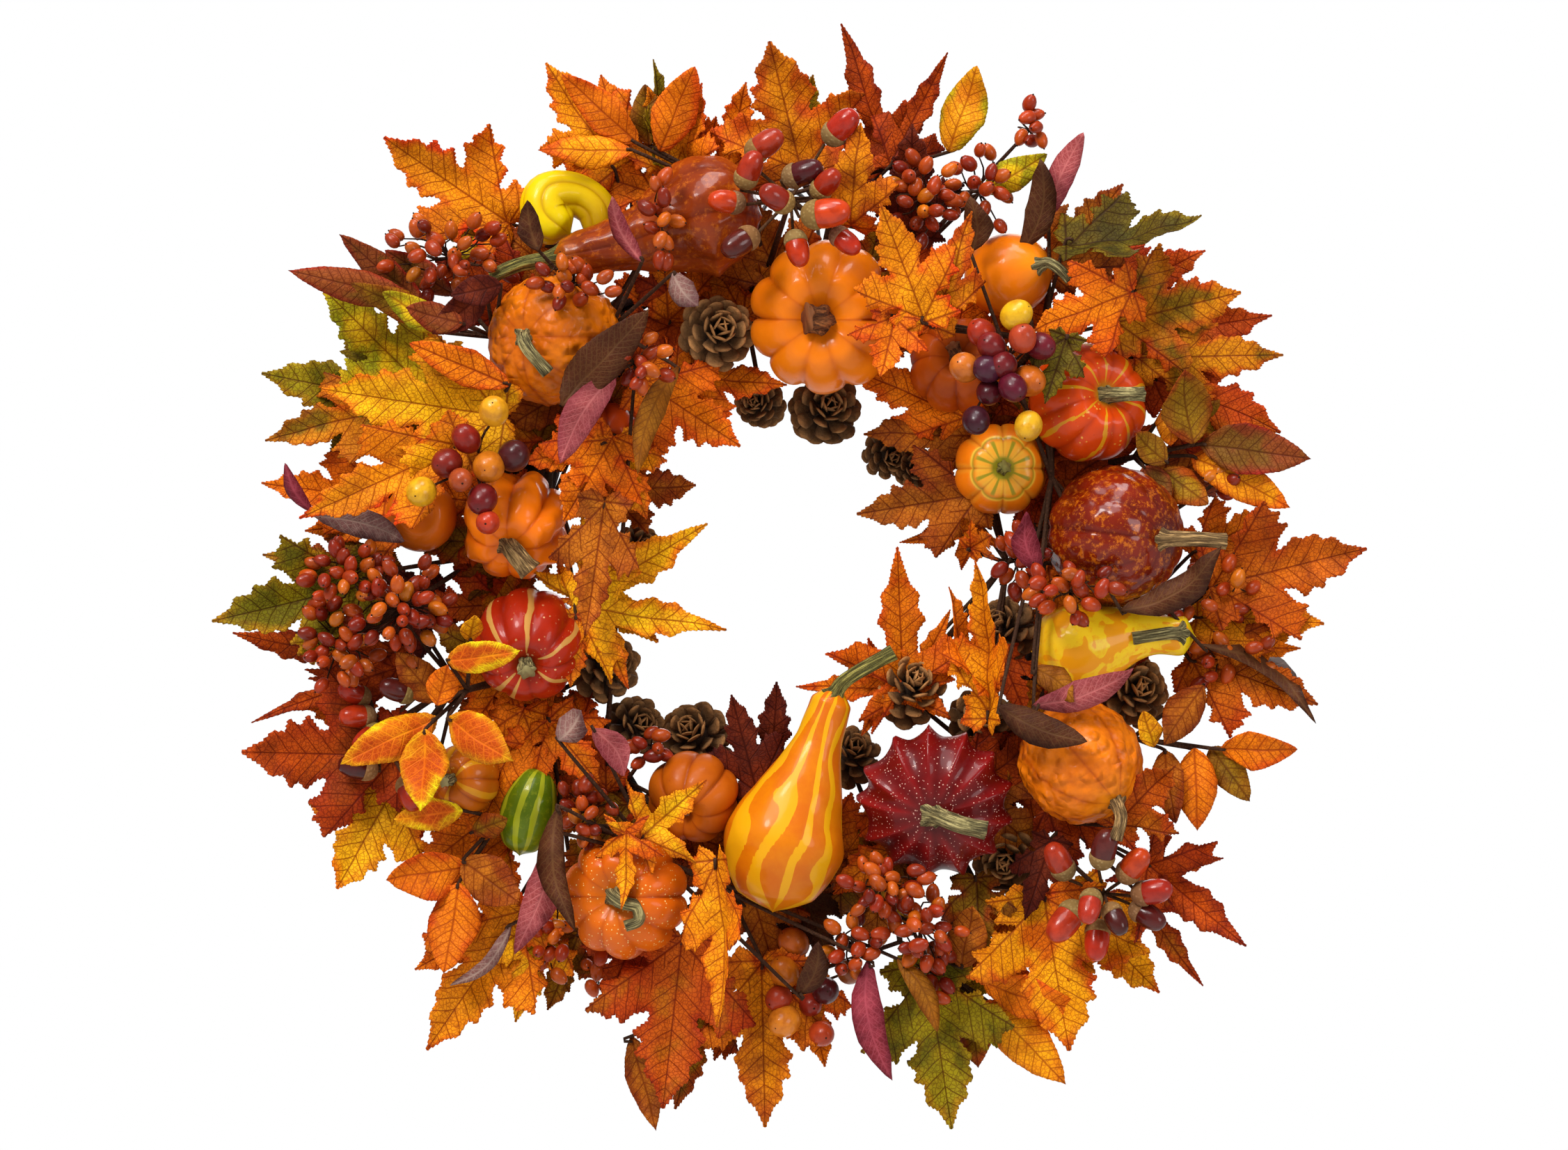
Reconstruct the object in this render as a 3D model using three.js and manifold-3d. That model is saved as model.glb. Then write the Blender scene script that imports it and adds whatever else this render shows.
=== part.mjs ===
// Harvest door wreath, in millimetres. X is right, Z is up and the front faces -Y.
// The origin is the point of the hanging loop that rests on the door hook.
import * as THREE from 'three';
import { mergeVertices } from 'three/addons/utils/BufferGeometryUtils.js';
import Module from 'manifold-3d';

// Base ring of three twisted vine strands, round the Y axis of the wreath's own frame.
const RING_RADIUS = 155;
const STRAND_RADIUS = 9.8;
const STRAND_OFFSET = 12.5;
const STRAND_TWISTS = 4;
const STRAND_SWEEP = 350;
const STRAND_STEPS = 42;
const RING_FRONT = -25;

// Hanger at the back of the ring: a tie wire with an eyelet, and a loop that swings in the eyelet.
const WIRE_RADIUS = 1.1;
const TIE_RADIUS = 27;
const EYELET_RADIUS = 4;
const LOOP_HEIGHT = 56;
const LOOP_WIDTH = 34;
const HINGE_Y = TIE_RADIUS + WIRE_RADIUS + EYELET_RADIUS;
const HOOK_Z = RING_RADIUS + LOOP_HEIGHT - WIRE_RADIUS;

// Gap left between neighbouring pieces.
const GAP = 0.4;
const LEAF_THICKNESS = 1;
const STEM_RADIUS = 1.3;
const BINDING_RADIUS = 4.5;

const wasm = await Module();
wasm.setup();

const v = (x, y, z) => new THREE.Vector3(x, y, z);

// ---- solids -----------------------------------------------------------------------------------

function toSolid(geometry) {
  geometry.deleteAttribute('normal');
  geometry.deleteAttribute('uv');
  const merged = mergeVertices(geometry, 1e-4);
  const position = merged.attributes.position;
  const corner = [v(0, 0, 0), v(0, 0, 0), v(0, 0, 0)];
  const triangles = [];
  let volume = 0;
  for (let i = 0; i < merged.index.count; i += 3) {
    const abc = [0, 1, 2].map((k) => merged.index.getX(i + k));
    if (new Set(abc).size < 3) continue;
    abc.forEach((vertex, k) => corner[k].fromBufferAttribute(position, vertex));
    volume += corner[0].dot(corner[1].clone().cross(corner[2]));
    triangles.push(abc);
  }
  if (volume < 0) triangles.forEach((abc) => abc.reverse());
  return new wasm.Manifold(new wasm.Mesh({
    numProp: 3,
    vertProperties: new Float32Array(position.array),
    triVerts: new Uint32Array(triangles.flat()),
  }));
}

function toGeometry(solid) {
  const mesh = solid.getMesh();
  const geometry = new THREE.BufferGeometry();
  geometry.setAttribute('position', new THREE.BufferAttribute(mesh.vertProperties, mesh.numProp));
  geometry.setIndex(new THREE.BufferAttribute(mesh.triVerts, 1));
  geometry.computeVertexNormals();
  return geometry;
}

const join = (solids) => solids.reduce((whole, solid) => whole.add(solid));

function largest(solid) {
  return solid.decompose().reduce((best, piece) => (piece.volume() > best.volume() ? piece : best));
}

function boxesMeet(first, second) {
  const a = first.boundingBox();
  const b = second.boundingBox();
  return [0, 1, 2].every((k) => a.min[k] < b.max[k] && b.min[k] < a.max[k]);
}

// ---- basic shapes -----------------------------------------------------------------------------

// A straight wire from one point to another.
function wire(from, to, radius) {
  const along = to.clone().sub(from);
  const geometry = new THREE.CylinderGeometry(radius, radius, along.length(), 3);
  return aim(geometry, from.clone().lerp(to, 0.5), along);
}

function regularShape(radius, sides) {
  const corners = Array.from({ length: sides }, (_, i) => {
    const angle = (i / sides) * 2 * Math.PI;
    return new THREE.Vector2(radius * Math.cos(angle), radius * Math.sin(angle));
  });
  return new THREE.Shape(corners);
}

function tube(points, radius, sides, steps) {
  const extrudePath = new THREE.CatmullRomCurve3(points);
  return toSolid(new THREE.ExtrudeGeometry(regularShape(radius, sides), { extrudePath, steps }));
}

// Turns a geometry's Y axis along a direction, and moves its origin to a point.
function aim(geometry, origin, direction) {
  geometry.applyQuaternion(
    new THREE.Quaternion().setFromUnitVectors(v(0, 1, 0), direction.clone().normalize()));
  geometry.translate(origin.x, origin.y, origin.z);
  return toSolid(geometry);
}

// An egg shape with its long half-axis along a direction.
function egg(centre, direction, across, along, columns, rows) {
  const geometry = new THREE.SphereGeometry(1, columns, rows);
  geometry.scale(across, along, across);
  return aim(geometry, centre, direction);
}

// ---- vine ring and hanger ---------------------------------------------------------------------

function ringPoint(angle, outward, forward) {
  const radius = RING_RADIUS + outward;
  return v(radius * Math.cos(angle), forward, radius * Math.sin(angle));
}

function vineStrand(index, grow) {
  const points = [];
  for (let i = 0; i <= STRAND_STEPS; i += 1) {
    const around = THREE.MathUtils.degToRad(20 + index * 120 + (i / STRAND_STEPS) * STRAND_SWEEP);
    const twist = around * STRAND_TWISTS + (index * 2 * Math.PI) / 3;
    points.push(ringPoint(around, STRAND_OFFSET * Math.cos(twist), STRAND_OFFSET * Math.sin(twist)));
  }
  return tube(points, STRAND_RADIUS + grow, 6, STRAND_STEPS);
}

// A closed wire ring whose centre line is an ellipse in the XZ plane, its lowest point at the origin.
function wireLoop(width, height, radius) {
  const geometry = new THREE.TorusGeometry(1, 0.5, 5, 20);
  const position = geometry.attributes.position;
  const point = v(0, 0, 0);
  for (let i = 0; i < position.count; i += 1) {
    point.fromBufferAttribute(position, i);
    const angle = Math.atan2(point.y, point.x);
    const outward = (Math.hypot(point.x, point.y) - 1) * 2 * radius;
    const x = (width / 2 + outward) * Math.cos(angle);
    const z = (height / 2 + outward) * Math.sin(angle) + height / 2;
    position.setXYZ(i, x, point.z * 2 * radius, z);
  }
  return toSolid(geometry);
}

function hangerTie(grow) {
  const band = new THREE.TorusGeometry(TIE_RADIUS, WIRE_RADIUS + grow, 4, 18);
  band.rotateY(Math.PI / 2);
  band.translate(0, 0, RING_RADIUS);
  const eyelet = new THREE.TorusGeometry(EYELET_RADIUS, WIRE_RADIUS + grow, 4, 10);
  eyelet.rotateY(Math.PI / 2);
  eyelet.translate(0, HINGE_Y, RING_RADIUS);
  return toSolid(band).add(toSolid(eyelet));
}

function hangingLoop(grow) {
  return wireLoop(LOOP_WIDTH, LOOP_HEIGHT, WIRE_RADIUS + grow).translate([0, HINGE_Y, RING_RADIUS]);
}

// ---- gourds and pumpkins ----------------------------------------------------------------------

// A turned profile bent along a curve: each profile point is [share of the length, radius].
function bentFruit(curve, profile, ribs, ribDepth) {
  const points = profile.map(([share, radius]) => new THREE.Vector2(radius, share));
  const geometry = new THREE.LatheGeometry(points, ribs ? ribs * 2 : 10);
  const position = geometry.attributes.position;
  const point = v(0, 0, 0);
  const side = Math.abs(curve.getTangentAt(0.5).y) > 0.5 ? v(0, 0, 1) : v(0, 1, 0);
  for (let i = 0; i < position.count; i += 1) {
    point.fromBufferAttribute(position, i);
    const share = THREE.MathUtils.clamp(point.y, 0, 1);
    const rib = 1 - ribDepth * (0.5 - 0.5 * Math.cos(ribs * Math.atan2(point.z, point.x)));
    const tangent = curve.getTangentAt(share);
    const across = v(0, 0, 0).crossVectors(side, tangent).normalize();
    const up = v(0, 0, 0).crossVectors(tangent, across);
    const centre = curve.getPointAt(share);
    centre.addScaledVector(across, point.x * rib).addScaledVector(up, point.z * rib);
    position.setXYZ(i, centre.x, centre.y, centre.z);
  }
  return toSolid(geometry);
}

// A pumpkin's profile from the blossom end to the stem end, with a shallow dimple at each end.
function pumpkinProfile(radius) {
  return Array.from({ length: 7 }, (_, i) => {
    const angle = (i / 6) * Math.PI;
    const dimple = 0.06 * Math.cos(angle) ** 6 * Math.sign(Math.cos(angle));
    return [0.5 - 0.5 * Math.cos(angle) + dimple, radius * Math.sin(angle) ** 0.85];
  });
}

// x, z: centre. radius, squash: half width, and length as a share of the width.
// ribs: number and depth. stem: where it leaves the fruit and where it ends, in x and z.
const PUMPKINS = [
  { name: 'warty_orange_gourd', x: -123, z: 125, radius: 35, squash: 0.96, ribs: [8, 0.02],
    stem: [-140, 125, -127, 107], colour: '#c8661c' },
  { name: 'large_orange_pumpkin', x: 20, z: 137, radius: 41, squash: 0.8, ribs: [10, 0.08],
    stem: [15, 133, 1, 131], colour: '#d9741a' },
  { name: 'teardrop_gourd', x: 117, z: 160, radius: 22, squash: 1.1, ribs: [0, 0],
    stem: [130, 163, 145, 155], colour: '#dd7a1c' },
  { name: 'brown_pumpkin', x: 90, z: 112, radius: 26, squash: 0.85, ribs: [8, 0.07],
    stem: [88, 118, 86, 124], colour: '#a8451a' },
  { name: 'turban_gourd', x: 113, z: 57, radius: 25, squash: 0.8, ribs: [8, 0.06],
    stem: [114, 57, 115, 58], colour: '#d8761c' },
  { name: 'striped_orange_pumpkin', x: 159, z: 92, radius: 32, squash: 0.85, ribs: [9, 0.08],
    stem: [172, 98, 192, 98], colour: '#cc4b1c' },
  { name: 'maroon_pumpkin', x: 173, z: 22, radius: 36, squash: 0.95, ribs: [10, 0.05],
    stem: [199, 19, 231, 18], colour: '#7a1f10' },
  { name: 'bumpy_orange_gourd', x: 155, z: -98, radius: 32, squash: 0.98, ribs: [8, 0.03],
    stem: [172, -118, 172, -136], colour: '#cf6c1a' },
  { name: 'pattypan_squash', x: 78, z: -120, radius: 42, squash: 0.6, ribs: [12, 0.16],
    stem: [74, -131, 101, -138], colour: '#7d1420' },
  { name: 'small_brown_pumpkin', x: -50, z: -117, radius: 25, squash: 0.85, ribs: [8, 0.07],
    stem: null, facing: [-57, -128], colour: '#bf5a1c' },
  { name: 'speckled_orange_pumpkin', x: -86, z: -169, radius: 34, squash: 0.82, ribs: [10, 0.08],
    stem: [-95, -168, -83, -181], colour: '#d3681d' },
  { name: 'small_striped_pumpkin', x: -172, z: -108, radius: 19, squash: 0.9, ribs: [8, 0.06],
    stem: null, facing: [-168, -104], colour: '#d0701c' },
  { name: 'red_striped_pumpkin', x: -137, z: -36, radius: 30, squash: 0.95, ribs: [9, 0.06],
    stem: [-138, -50, -136, -56], colour: '#a52a17' },
  { name: 'knobbly_orange_pumpkin', x: -144, z: 27, radius: 29, squash: 0.95, ribs: [8, 0.09],
    stem: [-148, 13, -137, 0], colour: '#cf7220' },
  { name: 'left_orange_gourd', x: -195, z: 32, radius: 19, squash: 1, ribs: [0, 0],
    stem: null, facing: [-195, 32], colour: '#d0701c' },
  { name: 'inner_red_pumpkin', x: -97, z: 72, radius: 21, squash: 0.85, ribs: [8, 0.07],
    stem: null, facing: [-94, 66], colour: '#c24a1a' },
];

// The direction from a pumpkin's centre to the point of its front that lies at x and z.
function facingDirection({ x, z, radius }, [atX, atZ]) {
  const across = (atX - x) / radius;
  const up = (atZ - z) / radius;
  return v(across, -Math.sqrt(Math.max(0.05, 1 - across ** 2 - up ** 2)), up).normalize();
}

function pumpkin(row, grow) {
  const direction = facingDirection(row, row.stem || row.facing);
  const radius = row.radius + grow;
  const half = row.radius * row.squash + grow;
  const depth = Math.hypot(row.radius * Math.hypot(direction.x, direction.z), half * direction.y);
  const centre = v(row.x, RING_FRONT - GAP * 2 - depth, row.z);
  const ends = [-1, 1].map((sign) => centre.clone().addScaledVector(direction, sign * half));
  const body = bentFruit(new THREE.LineCurve3(...ends), pumpkinProfile(radius), ...row.ribs);
  if (!row.stem) return body;
  const inside = ends[1].clone().addScaledVector(direction, -0.3 * half);
  const neck = ends[1].clone().addScaledVector(direction, 4);
  const tip = v(row.stem[2], neck.y - 3, row.stem[3]);
  return body.add(tube([inside, ends[1], neck, tip], row.radius * 0.08 + 1.2 + grow, 5, 5));
}

// path: points of the middle line in x and z. lead: how far each point stands in front of the body.
// profile: [share of the length, radius]. stem: points in x, lead and z.
const LONG_GOURDS = [
  { name: 'yellow_crookneck_gourd', path: [[-140, 0, 196], [-118, 0, 196], [-96, 0, 184]],
    profile: [[0, 0], [0.08, 10], [0.3, 17], [0.6, 15], [0.85, 10], [1, 0]],
    stem: null, ribs: [0, 0], colour: '#e0aa12' },
  { name: 'dark_swan_gourd', path: [[-13, 0, 190], [-44, 0, 190], [-84, 4, 176], [-126, 6, 167]],
    profile: [[0, 0], [0.06, 20], [0.24, 32], [0.42, 26], [0.6, 17], [0.94, 9], [1, 0]],
    stem: [[-120, 6, 168], [-140, 8, 165], [-157, 8, 158]], ribs: [8, 0.05], colour: '#7c2a14' },
  { name: 'bicolour_gourd', path: [[129, 0, -40], [155, 0, -38], [185, 0, -31], [217, 0, -32]],
    profile: [[0, 0], [0.07, 17], [0.28, 24], [0.5, 18], [0.75, 11], [0.93, 10], [1, 0]],
    stem: [[206, 4, -31], [200, 12, -30], [182, 14, -33]], ribs: [0, 0], colour: '#e09a1a' },
  { name: 'long_striped_gourd', path: [[-8, 0, -178], [-2, 0, -142], [12, 0, -100], [26, 0, -58]],
    profile: [[0, 0], [0.06, 19], [0.28, 32], [0.5, 24], [0.75, 13], [0.96, 10], [1, 0]],
    stem: [[22, 2, -68], [32, 4, -56], [56, 6, -40]], ribs: [0, 0], colour: '#db7d1c' },
  { name: 'green_striped_gourd', path: [[-143, 0, -149], [-138, 0, -125], [-131, 0, -101]],
    profile: [[0, 0], [0.12, 10], [0.4, 15], [0.7, 13], [0.92, 7], [1, 0]],
    stem: null, ribs: [0, 0], colour: '#6f8a1e' },
];

function longGourd(row, grow) {
  const widest = Math.max(...row.profile.map(([, radius]) => radius));
  const place = ([x, lead, z]) => v(x, RING_FRONT - GAP * 2 - widest - lead, z);
  const curve = new THREE.CatmullRomCurve3(row.path.map(place));
  const profile = row.profile.map(([share, radius]) => [share, radius && radius + grow]);
  const body = bentFruit(curve, profile, ...row.ribs);
  return row.stem ? body.add(tube(row.stem.map(place), 3.5 + grow, 5, 5)) : body;
}

// ---- pine cones -------------------------------------------------------------------------------

// Middle in x, y and z, half width, and how far the cone leans to one side.
const CONES = [
  [-37, -50, 130, 18, 0.2], [-15, -20, 93, 12, -0.3], [20, -16, 90, 17, 0.2], [-97, -30, -48, 16, 0.4],
  [-50, -12, -86, 17, -0.4], [66, -30, -61, 17, 0.3], [186, -26, -62, 17, 0.3], [118, -26, -152, 17, -0.2],
];

function cone([x, y, z, radius, lean], grow) {
  const direction = v(lean, -1, 0.3).normalize();
  return egg(v(x, y, z), direction, radius + grow, radius * 1.15 + grow, 9, 6);
}

// ---- leaves -----------------------------------------------------------------------------------

// Right half of each outline, from the stem to just below the tip, as shares of width and length.
const LEAF_OUTLINES = {
  maple: [[0.04, 0], [0.34, 0.04], [0.2, 0.22], [0.5, 0.56], [0.17, 0.55]],
  star: [[0.03, 0], [0.32, -0.05], [0.1, 0.18], [0.5, 0.5], [0.1, 0.42]],
  oval: [[0.08, 0.03], [0.4, 0.25], [0.5, 0.5], [0.3, 0.8]],
  narrow: [[0.1, 0.03], [0.45, 0.3], [0.45, 0.6], [0.2, 0.88]],
};

// The blade's outline on a narrow stem that runs from the spray's node, at y = 0, to the blade.
function leafShape(kind, stem, length, width, grow) {
  const right = LEAF_OUTLINES[kind].map(([x, y]) => (
    new THREE.Vector2(x * width + grow, stem + y * length)));
  right.unshift(new THREE.Vector2(STEM_RADIUS + grow, 0));
  const left = right.map((point) => new THREE.Vector2(-point.x, point.y)).reverse();
  return new THREE.Shape([...right, new THREE.Vector2(0, stem + length + grow), ...left]);
}

// A stemmed leaf from a spray's node to the leaf's tip, as one thin plate that faces forward.
function leaf(kind, node, base, tip, width, grow) {
  const length = base.distanceTo(tip);
  const stem = Math.max(node.distanceTo(tip) - length, 1);
  const thickness = LEAF_THICKNESS + 2 * grow;
  const plate = new THREE.ExtrudeGeometry(leafShape(kind, stem, length, width, grow),
    { depth: thickness, bevelEnabled: false });
  plate.translate(0, 0, -thickness / 2);
  const along = tip.clone().sub(node).normalize();
  const across = v(0, 0, 0).crossVectors(along, v(0, -1, 0)).normalize();
  const normal = v(0, 0, 0).crossVectors(across, along);
  plate.applyMatrix4(new THREE.Matrix4().makeBasis(across, along, normal).setPosition(node));
  return toSolid(plate);
}

// Each spray: the ring angle in degrees where its wired stem starts, the y of its leaves, and its
// leaves as [x, z of the base, x, z of the tip, width, how far the tip stands in front of the base].
const LEAF_SPRAYS = [
  { name: 'maple_spray_top_left', kind: 'maple', ring: 112, y: -22, colour: '#d0701c', leaves: [
    [-152, 196, -215, 232, 62, 0], [-84, 222, -129, 271, 56, 6], [-80, 226, -100, 268, 40, -6],
    [-72, 224, -46, 262, 44, 8]] },
  { name: 'maple_spray_top', kind: 'maple', ring: 84, y: -14, colour: '#cf5f1a', leaves: [
    [2, 222, -10, 283, 74, 4], [52, 222, 29, 292, 54, 10], [52, 222, 86, 281, 42, -4],
    [36, 190, 38, 236, 46, 20], [66, 186, 64, 237, 34, 24]] },
  { name: 'maple_spray_top_right', kind: 'maple', ring: 42, y: -16, colour: '#b9731c', leaves: [
    [146, 176, 216, 189, 56, 20], [176, 150, 238, 150, 60, 8], [186, 130, 259, 136, 46, -6],
    [190, 108, 261, 116, 60, -2], [190, 90, 260, 74, 56, 4]] },
  { name: 'maple_spray_right', kind: 'maple', ring: -5, y: -12, colour: '#cc6a1a', leaves: [
    [222, -2, 305, 15, 66, 14], [212, -26, 284, -26, 50, 4], [214, -50, 280, -70, 48, -6]] },
  { name: 'maple_spray_lower_right', kind: 'star', ring: -43, y: -16, colour: '#8f2a14', leaves: [
    [184, -150, 243, -195, 60, 14], [176, -118, 203, -98, 30, 4], [186, -158, 231, -150, 44, 24]] },
  { name: 'maple_spray_bottom_right', kind: 'maple', ring: -58, y: -12, colour: '#cc7a1a', leaves: [
    [138, -176, 148, -248, 84, 8], [76, -222, 86, -290, 66, 18], [150, -170, 194, -219, 56, -6]] },
  { name: 'maple_spray_bottom', kind: 'maple', ring: -105, y: -14, colour: '#c0461a', leaves: [
    [-58, -196, -66, -280, 86, 18], [-12, -210, -11, -290, 62, 8], [-40, -176, -36, -236, 34, 44],
    [-46, -222, -60, -283, 34, -4]] },
  { name: 'maple_spray_bottom_left', kind: 'maple', ring: -132, y: -18, colour: '#d68a1c', leaves: [
    [-136, -176, -190, -249, 76, 8], [-130, -186, -136, -235, 50, -4], [-158, -132, -158, -176, 60, 6]] },
  { name: 'maple_spray_left', kind: 'maple', ring: -158, y: -16, colour: '#c65a1a', leaves: [
    [-212, -96, -288, -94, 76, 10], [-206, -112, -238, -165, 62, 2], [-224, -4, -303, -24, 56, 16],
    [-206, -44, -296, -30, 30, -2], [-208, -52, -284, -77, 28, -8]] },
  { name: 'maple_spray_upper_left', kind: 'maple', ring: 152, y: -14, colour: '#c98a1a', leaves: [
    [-196, 104, -247, 152, 56, 4], [-198, 96, -279, 108, 50, -4], [-150, 92, -242, 98, 60, 34],
    [-176, 52, -269, 66, 56, 16], [-214, 46, -279, 50, 30, -8]] },
  { name: 'maple_spray_inner_left', kind: 'maple', ring: 168, y: -34, colour: '#d67a1c', leaves: [
    [-106, 70, -116, 30, 40, 50], [-92, 44, -52, 38, 44, 6], [-98, 42, -106, -30, 44, 46],
    [-104, -16, -44, 26, 54, 24], [-104, -22, -34, -28, 56, 30]] },
  { name: 'maple_spray_inner_right', kind: 'star', ring: 14, y: -30, colour: '#c4641a', leaves: [
    [98, 74, 34, 109, 48, 10], [98, 44, 39, 32, 44, 16], [62, -66, 58, 16, 66, 34],
    [100, -66, 98, 9, 28, 34]] },
  { name: 'oval_spray_upper_left', kind: 'oval', ring: 140, y: -30, colour: '#6e2a1c', leaves: [
    [-200, 142, -262, 161, 20, 4], [-196, 146, -236, 180, 18, 6], [-186, 134, -228, 153, 16, 12],
    [-178, 132, -198, 142, 14, 18]] },
  { name: 'oval_spray_right', kind: 'oval', ring: 20, y: -36, colour: '#8a6a1c', leaves: [
    [216, 72, 210, 109, 26, 12], [220, 72, 275, 62, 24, 12], [218, 66, 265, 37, 20, 4],
    [206, 60, 226, 38, 16, 8]] },
  { name: 'oval_spray_lower_right', kind: 'oval', ring: -32, y: -20, colour: '#b8641c', leaves: [
    [206, -92, 206, -130, 17, 0], [219, -92, 217, -134, 21, 6], [236, -92, 268, -92, 18, 4],
    [192, -88, 190, -68, 14, 8]] },
  { name: 'oval_spray_lower_left', kind: 'oval', ring: -160, y: -60, colour: '#cf7a1c', leaves: [
    [-184, -76, -233, -97, 22, 16], [-190, -82, -192, -120, 24, 22], [-178, -76, -145, -94, 24, 18],
    [-180, -66, -176, -40, 16, 8]] },
  { name: 'narrow_spray_left', kind: 'narrow', ring: 128, y: -100, colour: '#7d2440', leaves: [
    [-92, 104, -117, 60, 17, 10], [-118, 94, -74, 137, 15, 6], [-60, 106, -78, 54, 12, -10]] },
];

// The wired stem from the ring to a spray's node, where tape binds the thinner stems to it.
function mainStem(ring, node, grow) {
  const root = ringPoint(THREE.MathUtils.degToRad(ring), 8, RING_FRONT + 4);
  const binding = egg(node, v(0, 0, 1), BINDING_RADIUS + grow, BINDING_RADIUS + grow, 4, 2);
  return wire(root, node, STEM_RADIUS * 1.5 + grow).add(binding);
}

function leafSpray(spray, grow) {
  const root = ringPoint(THREE.MathUtils.degToRad(spray.ring), 8, RING_FRONT + 4);
  const bases = spray.leaves.map(([x, z]) => v(x, spray.y, z));
  const node = bases.reduce((sum, base) => sum.add(base), v(0, 0, 0)).divideScalar(bases.length);
  node.lerp(root, 0.4).setY(spray.y);
  const leaves = spray.leaves.map(([, , x, z, width, forward], i) => (
    leaf(spray.kind, node, bases[i], v(x, spray.y - forward, z), width, grow)));
  return join([mainStem(spray.ring, node, grow), ...leaves]);
}

// ---- berries and acorns -----------------------------------------------------------------------

// Each spray: its middle, half sizes in x and z, its count and the fruit's half width and length.
const BERRY_SPRAYS = [
  { name: 'berry_spray_top_left', x: -176, z: 168, y: -50, half: [34, 16], count: 7, fruit: [3.6, 5],
    ring: 130, colour: '#a8300f' },
  { name: 'berry_spray_top_right', x: 84, z: 212, y: -52, half: [32, 24], count: 8, fruit: [3.6, 5],
    ring: 72, colour: '#a8300f' },
  { name: 'berry_spray_right', x: 142, z: -2, y: -78, half: [28, 26], count: 7, fruit: [3.6, 5],
    ring: 2, colour: '#a8300f' },
  { name: 'berry_spray_left', x: -222, z: -22, y: -62, half: [36, 38], count: 10, fruit: [3.6, 5],
    ring: 176, colour: '#a8300f' },
  { name: 'berry_spray_bottom', x: 58, z: -186, y: -60, half: [34, 34], count: 9, fruit: [3.6, 5],
    ring: -72, colour: '#a8300f' },
  { name: 'round_berry_pick_left', x: -162, z: 54, y: -92, half: [22, 22], count: 6, fruit: [6, 6.6],
    ring: 158, colour: '#7a1d1c' },
  { name: 'round_berry_pick_right', x: 113, z: 108, y: -92, half: [22, 28], count: 9, fruit: [6, 6.6],
    ring: 44, colour: '#7a1d1c' },
  { name: 'acorn_pick_top', x: 4, z: 196, y: -96, half: [32, 28], count: 8, fruit: [6.5, 11],
    ring: 94, colour: '#a8341a' },
  { name: 'acorn_pick_lower_right', x: 164, z: -164, y: -64, half: [26, 24], count: 8, fruit: [6.5, 11],
    ring: -46, colour: '#a8341a' },
];

const GOLDEN_ANGLE = Math.PI * (3 - Math.sqrt(5));

// One small fruit on its own thin wire from the cluster's node.
function stemmedFruit(node, middle, across, along, grow) {
  const direction = middle.clone().sub(node);
  const length = direction.length();
  const profile = [[0, 0], [STEM_RADIUS * 0.8 + grow, 0], [STEM_RADIUS * 0.6 + grow, length - along],
    [across, length], [across * 0.6, length + along * 0.8], [0, length + along]];
  const points = profile.map(([radius, height]) => new THREE.Vector2(radius, height));
  return aim(new THREE.LatheGeometry(points, 4), node, direction);
}

// Fruit spread evenly over a domed cluster, each on its own thin wire from the cluster's stem.
function berrySpray({ x, y, z, half, count, fruit, ring }, grow) {
  const node = v(x, y + 10, z);
  const solids = [mainStem(ring, node, grow)];
  for (let i = 0; i < count; i += 1) {
    const share = Math.sqrt((i + 0.5) / count);
    const angle = i * GOLDEN_ANGLE;
    const place = v(x + half[0] * share * Math.cos(angle), y - 12 * (1 - share),
      z + half[1] * share * Math.sin(angle));
    solids.push(stemmedFruit(node, place, fruit[0] + grow, fruit[1] + grow, grow));
  }
  return join(solids);
}

// ---- assembly ---------------------------------------------------------------------------------

const VINE = { colour: '#2f1d14', roughness: 0.9 };
const STEEL = { colour: '#54585a', roughness: 0.45, metalness: 0.9 };

const PIECES = [
  ...[0, 1, 2].map((index) => (
    { name: `vine_strand_${'abc'[index]}`, make: (grow) => vineStrand(index, grow), ...VINE })),
  { name: 'hanger_tie', make: hangerTie, ...STEEL },
  { name: 'hanging_loop', make: hangingLoop, ...STEEL },
  ...PUMPKINS.map((row) => (
    { name: row.name, make: (grow) => pumpkin(row, grow), colour: row.colour, roughness: 0.35 })),
  ...LONG_GOURDS.map((row) => (
    { name: row.name, make: (grow) => longGourd(row, grow), colour: row.colour, roughness: 0.35 })),
  ...CONES.map((row, index) => (
    { name: `pine_cone_${index + 1}`, make: (grow) => cone(row, grow), colour: '#5a3a22', roughness: 0.9 })),
  ...BERRY_SPRAYS.map((row) => (
    { name: row.name, make: (grow) => berrySpray(row, grow), colour: row.colour, roughness: 0.4 })),
  ...LEAF_SPRAYS.map((row) => (
    { name: row.name, make: (grow) => leafSpray(row, grow), colour: row.colour, roughness: 0.8 })),
];

const wreath = new THREE.Group();
const ringFrame = new THREE.Group();
ringFrame.position.set(0, -HINGE_Y, -HOOK_Z);
wreath.add(ringFrame);

// Each piece is cut clear of the pieces before it, and keeps the largest part of what is left.
const placed = [];
for (const { name, make, colour, roughness, metalness = 0 } of PIECES) {
  let solid = make(0);
  for (const clearance of placed) {
    if (boxesMeet(solid, clearance)) solid = solid.subtract(clearance);
  }
  const mesh = new THREE.Mesh(toGeometry(largest(solid)),
    new THREE.MeshStandardMaterial({ color: colour, roughness, metalness }));
  mesh.name = name;
  ringFrame.add(mesh);
  placed.push(make(GAP));
}

export default wreath;
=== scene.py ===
"""Harvest door wreath, in metres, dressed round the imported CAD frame.

Tables give places and sizes in millimetres in the ring's own frame: X right, Z up, the door towards +Y.
"""
import math
import random

import bpy
import numpy as np
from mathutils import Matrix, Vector, geometry, noise


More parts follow.
